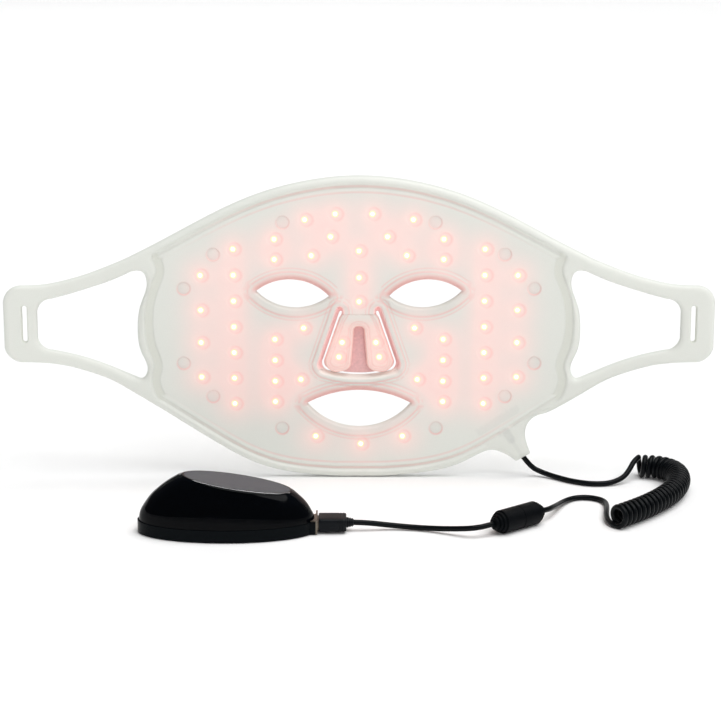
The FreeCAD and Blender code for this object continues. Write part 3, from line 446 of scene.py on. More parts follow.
# the inner edge of the raised rim
well_side = smooth([(119.2, 51.4), (121.4, 57.5), (121.7, 63), (120.4, 68.2), (121.2, 74.2), (123.8, 81.6),
                    (125.1, 89), (125.3, 101.3), (123.1, 113.5), (120.4, 120.8), (118.4, 127), (118.6, 131),
                    (120.4, 135.8)])
well_cheek = smooth([(14, 7.5), (39, 9.9), (58, 14.9), (86, 30), (119.2, 51.4)])
well_brow = smooth([(120.4, 135.8), (86.6, 154.2), (58.4, 166.9), (31.8, 174.3), (0, 177.5),
                    (-31.8, 174.3), (-58.4, 166.9), (-86.6, 154.2), (-120.4, 135.8)])
well = joined(straight((-14, 7.5), (14, 7.5)), well_cheek, well_side, well_brow, flip(well_side),
              flip(well_cheek))[:-1]

# the nose: two horns and a trapezoid in the front layer, a smaller hole in the back layer
NOSE_HORN = [(9.9, 101.3), (9.9, 103.4), (10.4, 104.9), (11.6, 105.6), (12.6, 104.9), (13.2, 103.4)]
nose_side = joined(smooth(NOSE_HORN, 0.7), straight((13.2, 103.4), (24.1, 71.2)),
                   arc((24.1, 71.2), (23.2, 67.9), (19.6, 65.9), 0.8))
nose_rim = joined(nose_side, arc((19.6, 65.9), (0, 63), (-19.6, 65.9)), flip(nose_side))
HOLE_HORN = [(9.9, 101.3), (10.3, 102.2), (11.1, 102.5), (11.8, 101.9), (12.2, 100.8)]
hole_side = joined(smooth(HOLE_HORN, 0.6), straight((12.2, 100.8), (22.1, 72)),
                   arc((22.1, 72), (21.6, 68.2), (18.2, 65.7), 0.8))
nose_hole = joined(hole_side, arc((18.2, 65.7), (0, 63.4), (-18.2, 65.7)), flip(hole_side),
                   straight((-9.9, 101.3), (9.9, 101.3)))[:-1]


def led_sites():
    """The 52 diodes of the panel: one side and its mirror image, then those near the middle."""
    side = [(94.6, z) for z in (62.8, 84.1, 104, 125.2)]
    side += [(74.9, 46.3 + 15.8 * i) for i in range(7)]
    side += [(50.4, z) for z in (47.5, 60.2, 73.2, 86.1)]
    side += [(35, 61.3), (33.2, 93), (26.2, 25.9)]
    side += [(50.4, 134.9), (50.4, 147.1), (28.4, 137.2), (16.9, 148.6), (32.2, 158.9)]
    middle = [(-14.1, 162.3), (8, 162.3), (0, 109.2), (0, 123.8), (0, 140), (1, 21.1)]
    return np.array(side + [(-x, z) for x, z in side] + middle)


LEDS = led_sites()
NOSE_LEDS = np.array([(s * x, z) for s in (-1, 1) for x, z in ((10.1, 84.2), (12.1, 75.2))])
PEGS = np.array([(s * x, z) for s in (-1, 1) for x, z in
                 ((45.3, 157.2), (86.7, 137.9), (104.5, 117.2), (105.2, 71.4), (87.9, 50.8), (46.4, 31))])

# what lies under the rim beside the cord's boot
BOARD_LINE = np.array([(73.2, 28.6), (94.4, 42.2)])
CRIMP_LINE = np.array([(92.2, 23.7), (88.9, 28.7)])
CABLE_LINE = np.array([(99.4, 12.8), (92.2, 23.7)])


# ---- relief meshes
# y of the mask's back face; depths are counted from it towards the wearer
BACK_FACE_Y = 67.0
# how much of the light in front shows at the back
BACK_GLOW = 0.15


def nearest(points, chain, closed=True):
    """Distance and offset of each point from a line."""
    best = np.full(len(points), 1e12)
    offset = np.zeros_like(points)
    ends = np.roll(chain, -1, axis=0) if closed else chain[1:]
    for a, b in zip(chain, ends):
        ab = b - a
        length = ab @ ab
        if length < 1e-9:
            continue
        t = np.clip((points - a) @ ab / length, 0, 1)
        v = points - a - t[:, None] * ab
        d = (v * v).sum(1)
        closer = d < best
        best[closer] = d[closer]
        offset[closer] = v[closer]
    return np.sqrt(best), offset


def within(points, loop):
    """Whether each point lies inside a closed line."""
    x, z = points[:, 0], points[:, 1]
    inside = np.zeros(len(points), bool)
    for (ax, az), (bx, bz) in zip(loop, np.roll(loop, -1, axis=0)):
        if az == bz:
            continue
        spans = (az > z) != (bz > z)
        inside ^= spans & (x < (bx - ax) * (z - az) / (bz - az) + ax)
    return inside


def between(points, loops):
    """Whether each point lies inside the first loop and outside the others."""
    ok = within(points, loops[0])
    for hole in loops[1:]:
        ok &= ~within(points, hole)
    return ok


def signed(points, loop):
    """Distance from a closed line, positive inside it."""
    distance, _ = nearest(points, loop)
    return np.where(within(points, loop), distance, -distance)


def rings(chain, offsets, closed=True):
    """Rows of points beside a line, on both sides, at the offsets given."""
    if closed:
        run = np.roll(chain, -1, axis=0) - np.roll(chain, 1, axis=0)
    else:
        run = np.gradient(chain, axis=0)
    run /= np.linalg.norm(run, axis=1)[:, None]
    normal = np.column_stack([-run[:, 1], run[:, 0]])
    rows = []
    for offset in offsets:
        for sign in (-1, 1) if offset else (1,):
            row = chain + normal * offset * sign
            distance, _ = nearest(row, chain, closed)
            rows.append(row[distance > offset - 0.03])
    return np.vstack(rows)


def circles(sites, rows):
    """Rings of points round each site: (radius, count) rows."""
    points = []
    for radius, count in rows:
        a = 2 * math.pi * np.arange(count) / count
        ring = np.column_stack([np.cos(a), np.sin(a)]) * radius
        points.append((sites[:, None, :] + ring[None]).reshape(-1, 2))
    return np.vstack(points)


def lattice(box, step):
    """A triangular lattice over a box of (x, z, x, z)."""
    x = np.arange(box[0], box[2], step)
    z = np.arange(box[1], box[3], step * 0.866)
    gx, gz = np.meshgrid(x, z)
    gx[1::2] += step / 2
    return np.column_stack([gx.ravel(), gz.ravel()])


def fill_points(loops, groups):
    """The groups' points that lie inside the loops, thinned so that none crowd another."""
    kept = np.vstack(loops)
    for points, gap in groups:
        points = points[between(points, loops)]
        tree = KDTree(len(kept) + len(points))
        for i, p in enumerate(kept):
            tree.insert((p[0], p[1], 0), i)
        tree.balance()
        fresh = [p for p in points if tree.find((p[0], p[1], 0))[2] > gap]
        taken = set()
        chosen = []
        for p in fresh:
            cell = (int(p[0] // gap), int(p[1] // gap))
            if cell in taken:
                continue
            taken.add(cell)
            chosen.append(p)
        if chosen:
            kept = np.vstack([kept, chosen])
    return kept[sum(len(loop) for loop in loops):]


def flat_mesh(loops, groups):
    """Points and triangles that fill the first loop round the others."""
    rim = np.vstack(loops)
    inner = fill_points(loops, groups)
    edges = []
    start = 0
    for loop in loops:
        edges += [(start + i, start + (i + 1) % len(loop)) for i in range(len(loop))]
        start += len(loop)
    flat = [Vector((float(x), float(z))) for x, z in np.vstack([rim, inner])]
    verts, _, faces, origin, _, _ = delaunay_2d_cdt(flat, edges, [], 0, 1e-6)
    points = np.array(verts)
    on_rim = np.array([any(i < len(rim) for i in o) for o in origin])
    triangles = np.array([f for f in faces if len(f) == 3])
    centres = points[triangles].mean(1)
    doubtful = on_rim[triangles].all(1)
    keep = ~doubtful
    keep[doubtful] = between(centres[doubtful], loops)
    triangles = triangles[keep]
    a, b, c = (points[triangles[:, k]] for k in range(3))
    area = (b[:, 0] - a[:, 0]) * (c[:, 1] - a[:, 1]) - (b[:, 1] - a[:, 1]) * (c[:, 0] - a[:, 0])
    triangles[area < 0] = triangles[area < 0][:, ::-1]
    return points, triangles[np.abs(area) > 1e-7]


def relief(name, loops, groups, shape):
    """A closed silicone solid inside the loops: its depths, tint and light come from shape()."""
    points, triangles = flat_mesh(loops, groups)
    front, back, tint, light, tint_back = shape(points)
    count = len(points)
    # a dictionary keeps the edges in order
    sides = {}
    for t in triangles:
        for i in range(3):
            sides[(t[i], t[(i + 1) % 3])] = True
    border = [(i, j) for i, j in sides if (j, i) not in sides]
    places = np.zeros((2 * count, 3))
    places[:count, 0] = places[count:, 0] = points[:, 0]
    places[:count, 2] = places[count:, 2] = points[:, 1]
    places[:count, 1] = BACK_FACE_Y - front
    places[count:, 1] = BACK_FACE_Y - back
    merged = np.arange(2 * count)
    closed = np.abs(front - back) < 1e-4
    merged[count:][closed] = np.arange(count)[closed]
    polys = [tuple(t) for t in triangles]
    polys += [tuple(merged[count + t][::-1]) for t in triangles]
    smooth_count = len(polys)
    for i, j in border:
        quad = [j, i, merged[count + i], merged[count + j]]
        quad = [v for k, v in enumerate(quad) if v not in quad[:k]]
        if len(quad) > 2:
            polys.append(tuple(quad))
    used = np.unique(np.concatenate([np.array(p) for p in polys]))
    index = -np.ones(2 * count, int)
    index[used] = np.arange(len(used))
    mesh = bpy.data.meshes.new(name)
    mesh.from_pydata((places[used] * MM).tolist(), [], [tuple(int(index[v]) for v in p) for p in polys])
    mesh.shade_smooth()
    for k in range(smooth_count, len(polys)):
        mesh.polygons[k].use_smooth = False
    tints = np.vstack([tint, tint_back])[used]
    lights = np.vstack([light, light * BACK_GLOW])[used]
    for label, values in (("tint", tints), ("light", lights)):
        layer = mesh.attributes.new(label, "FLOAT_COLOR", "POINT")
        layer.data.foreach_set("color", np.column_stack([values, np.ones(len(used))]).ravel())
    return add_object(name, mesh, SILICONE)


# ---- relief and colour of the silicone
BASE = linear((230, 232, 225))
# painted light: the pink of the diodes' glow in the silicone
DIODE_GLOW_PINK = linear((236, 222, 217))
LINE = linear((238, 188, 182))
# painted shade, pink, on the downward-facing upper walls of the eyes and mouth
SHADED_WALL_PINK = linear((226, 172, 166))
# painted shade and diode light: the mauve of the nose's recessed ledge
SHADED_GLOW_MAUVE = linear((240, 200, 198))
OLIVE = linear((219, 221, 210))
BEAD = linear((227, 227, 220))
# grey: the temple groove's lines and what shows through the rim, and painted shade along the outer edge and on
# the pegs' upper side
GREY = linear((196, 198, 194))
# painted light: the nose's walls lightened in pale pink
LIT_WALL_PINK = linear((252, 222, 218))
# painted shade lit red by the diodes, for the pockets' rings
RED_RING_SHADE = linear((246, 158, 156))
YELLOW = linear((255, 240, 190))
PEG_TINT = linear((218, 222, 216))
# painted light: the pink of the nose diodes' glow in the legs
LEG_GLOW_PINK = linear((248, 222, 214))

# middle of the thickness, half a wing's thickness and the rounding at the back
MIDDLE = 3.5
WING_HALF = 2.5
BACK_ROUND = 2.6
# how far from an opening its bead goes, and the groove outside it
BEAD_END = 6.0
GROOVE_END = 7.8
# Depths across a feature: distances from its line, then the depth at each. The panel's face is at 6.
RIM_PROFILE = ([-3.6, -2.3, -0.7, -0.3, 1.5, 2.2], [7, 5.5, 5.5, 6.2, 6.2, 6])
TEMPLE_PROFILE = ([-3.4, -2.5, 1.9, 2.5], [7, 5.7, 5.6, 6])
BEAD_PROFILE = ([2, 4.4, 6, 6.8, 7.3, 7.8], [6.75, 6.75, 6, 6, 5.9, 6])
NOSE_PROFILE = ([0, 0.25, 0.8, 1.5, 3.4, 4.2, 5.2, 5.6, 6.1], [2, 5.2, 6.4, 6.8, 6.8, 6.2, 6.2, 6.05, 6])
NOSE_LOW_PROFILE = ([0, 0.5, 1.2, 2, 3.4, 4.2, 5.2, 5.6, 6.1],
                    [2, 4.2, 5.8, 6.6, 6.7, 6.2, 6.2, 6.05, 6])
TONGUE_PROFILE = ([0, 0.5, 1.3, 2, 2.5], [4.4, 5.7, 6.15, 6, 6.1])
LEG_PROFILE = ([0, 0.35, 0.8, 1.3, 1.8, 2.1, 3, 3.3, 3.6],
               [4.4, 5.3, 5.8, 6.1, 6.15, 5.95, 6, 5.86, 6.05])
# added to the depth
POCKET_PROFILE = ([3.4, 4, 4.5, 5], [-0.12, -0.1, 0.06, 0])
PEG_PROFILE = ([3.2, 3.6, 3.9, 4.2, 4.7], [-0.3, -0.55, -0.2, 0.08, 0])


def quarter(t):
    """A quarter circle's height, from 0 at 0 to 1 at 1."""
    return np.sqrt(np.clip(1 - (1 - np.clip(t, 0, 1)) ** 2, 0, 1))


def ease(x, a, b):
    """A smooth rise from 0 at a to 1 at b."""
    t = np.clip((x - a) / (b - a), 0, 1)
    return t * t * (3 - 2 * t)


def band(x, a, b, c, d):
    """1 from b to c, falling to 0 at a and at d."""
    return np.interp(x, [a, b, c, d], [0, 1, 1, 0])


def mix(colour, other, weight):
    """The colour moved towards another by a weight at each point."""
    return colour + (other - colour) * np.clip(weight, 0, 1)[:, None]


def lit(light, weight, colour):
    """The light with a colour added by a weight at each point."""
    return light + weight[:, None] * np.array(colour)


def arm_half(x):
    """Half the thickness: full at the mask, thinner along the wings."""
    return WING_HALF + (MIDDLE - WING_HALF) * (1 - ease(np.abs(x), CUT_X, CUT_X + 20))


def site_distance(points, sites):
    """Distance of each point from its nearest site, and from all of them."""
    gaps = np.linalg.norm(points[:, None, :] - sites[None], axis=2)
    return gaps.min(1), gaps


def led_paint(points, sites, tint, light, spread, strength):
    """Painted light of each diode behind the silicone: halo, core and bloom in the tint and the light, and its
    pocket's ring as painted shade lit red by the diode.
    """
    near, gaps = site_distance(points, sites)
    halo = np.exp(-(gaps / spread) ** 2).sum(1)
    # painted light: each diode's pink glow in the tint
    tint = mix(tint, DIODE_GLOW_PINK, strength * halo)
    light = lit(light, strength * np.minimum(halo, 1.3), (0.24, 0.055, 0.045))
    # painted shade and diode light: each pocket's ring, set off to the lower right and stronger on its right
    # side
    ring_centre = sites + (0.9, -0.1)
    pick = gaps.argmin(1)
    away = points - ring_centre[pick]
    r = np.linalg.norm(away, axis=1)
    facing = 0.6 + 0.4 * away[:, 0] / np.maximum(r, 1e-6)
    tint = mix(tint, RED_RING_SHADE, 0.30 * facing * np.exp(-((r - 3.9) / 0.55) ** 2))
    tint = mix(tint, RED_RING_SHADE, 0.10 * (1 - ease(r, 3, 4.4)))
    tint = mix(tint, YELLOW, 1 - ease(near, 1.5, 2.4))
    # core, fringe and bloom
    light = lit(light, 1 - ease(near, 0.5, 1.35), (3, 2.9, 2.5))
    light = lit(light, 1 - ease(near, 1.1, 2.1), (0.5, 0.38, 0.12))
    light = lit(light, np.exp(-(near / 4.2) ** 2), (0.10, 0.045, 0.03))
    return tint, light


# the outer edge, and the edges of the two wing loops
silhouette = [joined(top_line, flip(wing_end), flip(low_plain), straight((-14, 0), (14, 0)), low_boot,
                     wing_end)[:-1],
              joined(loop_line, loop_end)[:-1], joined(flip(loop_line), flip(loop_end))[:-1]]


def rounded_edge(points):
    """Distance from the outer edge, and the front and back depths that its rounding gives.

    The front rounds more tightly where the edge faces down.
    """
    found = [nearest(points, loop) for loop in silhouette]
    gaps = np.array([gap for gap, _ in found])
    rise = np.array([offset[:, 1] for _, offset in found])
    pick = gaps.argmin(0)
    edge = gaps.min(0)
    facing_down = np.clip(rise[pick, np.arange(len(points))] / np.maximum(edge, 1e-6), 0, 1)
    radius = 3.8 - 1.9 * facing_down * ease(np.abs(points[:, 0]), CUT_X - 22, CUT_X)
    half = arm_half(points[:, 0])
    return edge, MIDDLE + half * quarter(edge / radius), MIDDLE - half * quarter(edge / BACK_ROUND)


def rim_and_groove(points, edge, top):
    """The raised rim's inner slope, the groove beside it, the pink and grey lines along them, and painted
    shade in grey along the outer edge.
    """
    inside = signed(points, well)
    side = np.min([nearest(points, c, False)[0] for c in (well_side, flip(well_side))], axis=0)
    temple = 1 - ease(side - np.abs(inside), 0.3, 1.6)
    plain = np.interp(inside, *RIM_PROFILE)
    channel = np.interp(inside, *TEMPLE_PROFILE)
    top = np.minimum(top, plain + (channel - plain) * temple)
    # the groove is shallower over the cord's crimp
    crimp, _ = nearest(points, CRIMP_LINE, False)
    top = np.maximum(top, np.where(edge > 3, 6.5 - 0.9 * ease(crimp, 3.2, 5), 0))
    tint = np.tile(BASE, (len(points), 1))
    warm = np.exp(-(np.abs(points[:, 0]) / 85) ** 4)
    tint = mix(tint, LINE, (1 - temple) * warm * 0.42 * band(inside, -2.3, -1.9, -0.9, -0.4))
    tint = mix(tint, LINE, (1 - temple) * warm * 0.40 * band(inside, 1.3, 1.8, 2.5, 3))
    tint = mix(tint, OLIVE, 0.6 * temple * band(inside, -2.9, -2.3, 1.9, 2.5))
    for centre in (-2.8, 2.2):
        tint = mix(tint, GREY, 0.2 * temple * np.exp(-((inside - centre) / 0.45) ** 2))
    # painted shade: grey along the outer edge
    tint = mix(tint, GREY, 0.3 * (1 - ease(edge, 0, 1.3)))
    return inside, top, tint


def opening_beads(points, top, back, tint):
    """The beads round the eyes and mouth, whose upper walls are wider and carry painted shade in pink."""
    x, z = points[:, 0], points[:, 1]
    for loop in (eye_right, flip(eye_right), mouth):
        near, _ = nearest(points, loop)
        corner_z = MOUTH_END[1] if loop is mouth else EYE_IN[1] + (np.abs(x) - EYE_IN[0]) * EYE_SLOPE
        upper = ease(z, corner_z - 1, corner_z + 2)
        slope = 1.5 + 1.9 * upper
        bead = np.interp(near, *BEAD_PROFILE)
        bead = np.where(near < slope, MIDDLE + 3.25 * quarter(near / slope), bead)
        outer = np.where(near < BEAD_END, bead, np.minimum(top, bead))
        top = np.where(near < GROOVE_END, outer, top)
        back = np.maximum(back, MIDDLE - MIDDLE * quarter(near / 1.6))
        tint = mix(tint, BEAD, 0.8 * (1 - ease(near, 4, 5.2)))
        # painted shade: the upper walls, which face down, in pink
        tint = mix(tint, LINE, upper * 0.95 * (1 - ease(near, 2.8, 3.7)))
        tint = mix(tint, SHADED_WALL_PINK, upper * (1 - ease(near, 0.9, 2.9)))
        tint = mix(tint, LINE, 0.65 * band(near, 4.3, 4.9, 5.5, 6.1))
        tint = mix(tint, LINE, 0.5 * band(near, 6.7, 7.1, 7.5, 7.9))
    return top, back, tint


def nose_opening(points, top, back, tint):
    """The bead round the nose, the thin back layer inside it, the tongue that the flap hangs from, and the
    painted light and shade on its walls, ledge and lower lip.
    """
    x, z = points[:, 0], points[:, 1]
    near, _ = nearest(points, nose_rim, False)
    in_nose = within(points, np.vstack([nose_rim, [(-9.9, 101.3), (9.9, 101.3)]])) & (near > 1e-4)
    hole, _ = nearest(points, nose_hole)
    bead = np.where(z < 67, np.interp(near, *NOSE_LOW_PROFILE), np.interp(near, *NOSE_PROFILE))
    tongue = (np.abs(x) < 10) & (z < 106) & (z > 101)
    bead = np.where(tongue, np.interp(near, *TONGUE_PROFILE), bead)
    top = np.where(near < BEAD_END, bead, top)
    top = np.where(in_nose, 1 + quarter(hole / 0.6), top)
    top = np.where(near <= 1e-4, np.where(tongue, 4.4, 2), top)
    at_hole = (hole < 1e-4) & ~((np.abs(x) < 10.2) & (z < 103.2))
    back = np.where(hole < 0.8, np.maximum(back, 1.0 - quarter(hole / 0.8)), back)
    back = np.where((np.abs(x) < 10.4) & (z < 103.2) & (z > 100.8), 2.6, back)
    top = np.where(at_hole, 1, top)
    back = np.where(at_hole, 1, back)
    above_lip = ease(z, 66, 69)
    tint = mix(tint, BEAD, 0.8 * (1 - ease(near, 3, 4.2)) * ~in_nose)
    # painted light: the walls round the nose lightened in pale pink
    tint = mix(tint, LIT_WALL_PINK, np.interp(near, [0, 0.8, 1.6], [1, 1, 0]) * ~in_nose * above_lip)
    tint = mix(tint, LINE, 0.6 * band(near, 3.3, 3.7, 4.2, 4.7) * ~in_nose)
    tint = mix(tint, LINE, 0.4 * band(near, 5.3, 5.7, 6.1, 6.5) * ~in_nose)
    # painted shade and diode light: the ledge inside the nose in mauve
    tint = mix(tint, SHADED_GLOW_MAUVE, in_nose * ease(z, 65.6, 68.5))
    # painted light: the walls round the nose and the ledge inside it glow
    painted_wall_light = ((1 - ease(near, 0.3, 1.1)) * ~in_nose + 0.6 * in_nose) * above_lip
    light = lit(0, painted_wall_light, (0.10, 0.04, 0.04))
    # painted light: the nose's lower lip lightened where it lies in shade
    lip = (1 - ease(near, 1.2, 2.4)) * (1 - ease(z, 65.5, 68.5)) * (z > 60) * (np.abs(x) < 24)
    light = lit(light, lip, (0.13, 0.11, 0.10))
    return top, back, tint, light, in_nose


def peg_marks(points, top, tint):
    """The twelve pegs: a shallow ring in the face, with painted light in pink on its lower side and painted
    shade in grey on the upper.
    """
    peg, gaps = site_distance(points, PEGS)
    top = top + np.interp(peg, *PEG_PROFILE)
    away = points - PEGS[gaps.argmin(1)]
    turn = np.arctan2(away[:, 1], away[:, 0])
    # painted light on the ring's lower side, painted shade on its upper side
    lit_low_side = 0.5 + 0.5 * np.cos(turn + np.radians(80))
    tint = mix(tint, PEG_TINT, 0.5 * (1 - ease(peg, 3.3, 4.2)))
    tint = mix(tint, LINE, (0.15 + 0.7 * lit_low_side) * np.exp(-((peg - 3.9) / 0.5) ** 2))
    tint = mix(tint, GREY, 0.25 * (1 - lit_low_side) * np.exp(-((peg - 3.7) / 0.45) ** 2))
    return top, tint


def mask_shape(points):
    """The mask's front and back depths, its front tint and light, and its back tint."""
    edge, top, back = rounded_edge(points)
    inside, top, tint = rim_and_groove(points, edge, top)
    top, back, tint = opening_beads(points, top, back, tint)
    top, back, tint, light, in_nose = nose_opening(points, top, back, tint)
    led, _ = site_distance(points, LEDS)
    top = top + np.interp(led, *POCKET_PROFILE)
    top, tint = peg_marks(points, top, tint)
    inside_rim = ease(inside, -1, 3) * ~in_nose
    painted, light = led_paint(points, LEDS, tint, light, 11.6, 0.62)
    tint = mix(tint, painted, np.maximum(inside_rim, led < 5))
    # what shows faintly through the rim by the cord
    for line, wide, weight in ((BOARD_LINE, 2.5, 0.16), (CRIMP_LINE, 2.4, 0.35), (CABLE_LINE, 1.2, 0.16)):
        gap, _ = nearest(points, line, False)
        tint = mix(tint, GREY, weight * (1 - ease(gap, wide - 0.4, wide + 0.3)))
    tint_back = np.tile(BASE, (len(points), 1))
    # painted light: a pink glow round each diode on the back
    tint_back = mix(tint_back, DIODE_GLOW_PINK, 0.4 * np.exp(-(led / 9) ** 2))
    # painted shade and diode light: the nose's ledge in mauve on the back
    tint_back = mix(tint_back, SHADED_GLOW_MAUVE, 0.5 * in_nose)
    return top, back, tint, light, tint_back


def cut_rows(side):
    """Rows of points close beside the cut, so that the mask and the wing shade alike there."""
    z = np.concatenate([np.arange(50, 64, CUT_STEP), np.arange(126.5, 139, CUT_STEP)])
    return np.vstack([np.column_stack([np.full(len(z), side * (CUT_X + off)), z])
                      for off in (-1, -0.5, -0.2, 0.2, 0.5, 1)])


def clipped(chain, side):
    """The part of a line beyond the cut (side 1) or before it (side -1)."""
    chain = crossing(chain, CUT_X)
    return chain[(chain[:, 0] - CUT_X) * side >= -1e-6]


def mask_loops():
    """The mask's outline between the two cuts, and its openings."""
    low_right = clipped(low_boot, -1)
    low_left = clipped(low_plain, -1)
    middle = clipped(loop_line, -1)
    upper = crossing(crossing(top_line, CUT_X), -CUT_X)
    upper = upper[np.abs(upper[:, 0]) <= CUT_X + 1e-6]
    mirrored = flip(middle)
    low_mirrored = flip(low_left)
    outer = joined(straight((-14, 0), (14, 0)), low_right,
                   straight(low_right[-1], middle[0], CUT_STEP), middle,
                   straight(middle[-1], upper[0], CUT_STEP), upper,
                   straight(upper[-1], mirrored[0], CUT_STEP), mirrored,
                   straight(mirrored[-1], low_mirrored[0], CUT_STEP), low_mirrored)[:-1]
    return [outer, eye_right, flip(eye_right), mouth, nose_hole]


EDGE_ROWS = [0.12, 0.45, 0.95, 1.6, 2.4, 3.2, 4]
# rings of points round a diode, as (radius, count)
LED_ROWS = [(0.7, 6), (1.3, 12), (1.7, 16), (2.1, 18), (2.6, 20), (3.1, 22), (3.6, 24)]


def mask_piece():
    """The mask's body, its points listed by feature with the least gap to keep between them."""
    nose_rows = [0.25, 0.6, 0.9, 1.4, 2, 2.7, 3.4, 3.8, 4.2, 4.7, 5.2, 5.7, 6.1, 6.6]
    bead_rows = [0.3, 0.7, 1.1, 1.6, 2.1, 3.2, 4.4, 4.9, 5.3, 5.7, 6.2, 6.8, 7.2, 7.6, 8.1]
    rim_rows = [0, 0.3, 0.7, 1.2, 1.7, 2.2, 2.5, 3, 3.6]
    peg_rows = [(1.6, 10), (3.1, 24), (3.5, 30), (3.8, 30), (4.1, 30), (4.5, 30), (5, 30)]
    halo_rows = [(4, 24), (4.5, 24), (5.1, 24), (6.2, 24), (7.6, 24)]
    cord_rows = [(0.8, 8), (1.6, 16), (2.4, 20), (3.2, 24), (4.2, 28)]
    cord_sites = np.array([(92.2, 23.7), (90.5, 26.2), (95.8, 18.2), (84, 35.5)])
    groups = [
        (np.vstack([cut_rows(1), cut_rows(-1)]), 0.15),
        (nose_rim, 0.2),
        (rings(nose_rim, nose_rows, False), 0.24),
        (np.vstack([rings(c, bead_rows) for c in (eye_right, flip(eye_right), mouth)]), 0.28),
        (rings(nose_hole, [0.3, 0.7]), 0.22),
        (circles(LEDS, LED_ROWS + halo_rows), 0.3),
        (circles(PEGS, peg_rows), 0.28),
        (np.vstack([rings(c, EDGE_ROWS) for c in silhouette]), 0.3),
        (rings(well, rim_rows), 0.3),
        (circles(cord_sites, cord_rows), 0.5),
        (lattice((-CUT_X, 0, CUT_X, 185), 1.9), 0.8),
    ]
    piece = relief("mask_skin", mask_loops(), groups, mask_shape)
    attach(piece, "mask")
    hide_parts("outer_shell", "inner_skin", "cable_boot")


def wing_shape(points):
    """The same for a wing."""
    edge, top, back = rounded_edge(points)
    mirror = np.column_stack([np.abs(points[:, 0]), points[:, 1]])
    gap, _ = nearest(mirror, slot)
    lip = arm_half(points[:, 0]) * quarter(gap / 0.9)
    top = np.minimum(top, MIDDLE + lip)
    back = np.maximum(back, MIDDLE - lip)
    tint = np.tile(BASE, (len(points), 1))
    tint = mix(tint, OLIVE, 0.5 * (1 - ease(gap, 0, 1.2)))
    # painted shade: grey along the wing's edge
    tint = mix(tint, GREY, 0.3 * (1 - ease(edge, 0, 1.3)))
    light = np.zeros((len(points), 3))
    return top, back, tint, light, tint


def wing_piece(side):
    """The wing on the right (side 1) or on the left (side -1)."""
    low = clipped(low_plain, 1)
    upper = clipped(top_line[:len(top_line) // 2], 1)
    middle = crossing(loop_line, CUT_X)
    crossings = np.where(np.abs(middle[:, 0] - CUT_X) < 1e-6)[0]
    inner_low, inner_top = middle[:crossings[0] + 1], middle[crossings[-1]:]
    outer = joined(low, wing_end, upper, straight(upper[-1], inner_top[0], CUT_STEP), inner_top, loop_end,
                   inner_low, straight(inner_low[-1], low[0], CUT_STEP))[:-1]
    label, loops, box, edges = "right", [outer, slot], (CUT_X, 50, 213, 140), silhouette[:2]
    if side < 0:
        label, loops, box, edges = "left", [flip(c) for c in loops], (-213, 50, -CUT_X, 140), silhouette[::2]
    groups = [
        (cut_rows(side), 0.15),
        (np.vstack([rings(c, EDGE_ROWS) for c in edges]), 0.3),
        (rings(loops[1], [0.12, 0.4, 0.8, 1.3]), 0.2),
        (lattice(box, 1.9), 0.8),
    ]
    piece = relief("wing_skin_" + label, loops, groups, wing_shape)
    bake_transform(piece)
    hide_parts(label + "_wing")


# the nose flap's legs, which hang from the tongue above the fold
leg_right = joined(straight((10.2, 101.25), (11.9, 98.7)), straight((11.9, 98.7), (20.8, 73)),
                   arc((20.8, 73), (18.3, 67.4), (11, 65.9), 0.7),
                   arc((11, 65.9), (6.1, 67.9), (4.4, 72.2), 0.7),
                   straight((4.4, 72.2), (2.8, 91.3)))
leg_edge = joined(leg_right, arc((2.8, 91.3), (2.1, 93), (0.6, 93.5), 0.6),
                  arc((-0.6, 93.5), (-2.1, 93), (-2.8, 91.3), 0.6), flip(leg_right))
leg_loop = joined(leg_edge, straight((-10.2, 101.25), (10.2, 101.25)))[:-1]


def leg_shape(points):
    """The same for the nose flap's legs, whose glow fades towards the fold."""
    near, _ = nearest(points, leg_edge, False)
    top = np.interp(near, *LEG_PROFILE)
    back = np.full(len(points), 2.05)
    # painted light: the legs' pink glow, fading towards the fold
    tint = np.tile(LEG_GLOW_PINK, (len(points), 1))
    fade = ease(points[:, 1], 92, 101)
    tint = mix(tint, BASE, 0.75 * fade)
    tint = mix(tint, LINE, (0.75 - 0.35 * fade) * np.interp(near, [0, 0.5, 1], [1, 1, 0]))
    for centre in (2.05, 3.35):
        tint = mix(tint, LINE, 0.55 * np.exp(-((near - centre) / 0.35) ** 2))
    tint = mix(tint, LINE, 0.2 * ease(points[:, 1], 100.6, 101.25))
    tint, light = led_paint(points, NOSE_LEDS, tint, np.zeros((len(points), 3)), 7, 0.35)
    light = lit(light, 0.07 - 0.05 * fade, (1, 0.35, 0.25))
    return top, back, tint, light, tint


def leg_piece():
    """Both legs of the nose flap, joined at the top."""
    groups = [
        (rings(leg_edge, [0.3, 0.7, 1.1, 1.5, 1.9, 2.2, 2.7, 3.2, 3.5, 4], False), 0.22),
        (circles(NOSE_LEDS, LED_ROWS), 0.3),
        (lattice((-21, 65, 21, 101.2), 0.9), 0.4),
    ]
    piece = relief("nose_legs", [leg_loop], groups, leg_shape)
    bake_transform(piece)
    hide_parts("nose_flap_legs")


mask_piece()
wing_piece(1)
wing_piece(-1)
leg_piece()


# ---- controller cover
COVER_PLACE = Vector((-74.5, -43.4, 0))
# tilted ovals from the tray up: x and z of the left end, x and z of the right end, half width
SECTIONS = [(-49.6, 7.3, 49.6, 7.3, 22.8), (-48.7, 12.2, 49, 9.7, 22.4), (-46, 17, 47.8, 12.2, 21.6),
            (-42.7, 21.5, 46.4, 14.7, 20.5), (-38.6, 25.4, 44.6, 17.2, 19.2), (-34.6, 28.6, 42.6, 19.3, 17.9),
            (-30.6, 31.2, 40.4, 21.4, 16.6), (-27.2, 33.1, 38.4, 23, 15.5)]
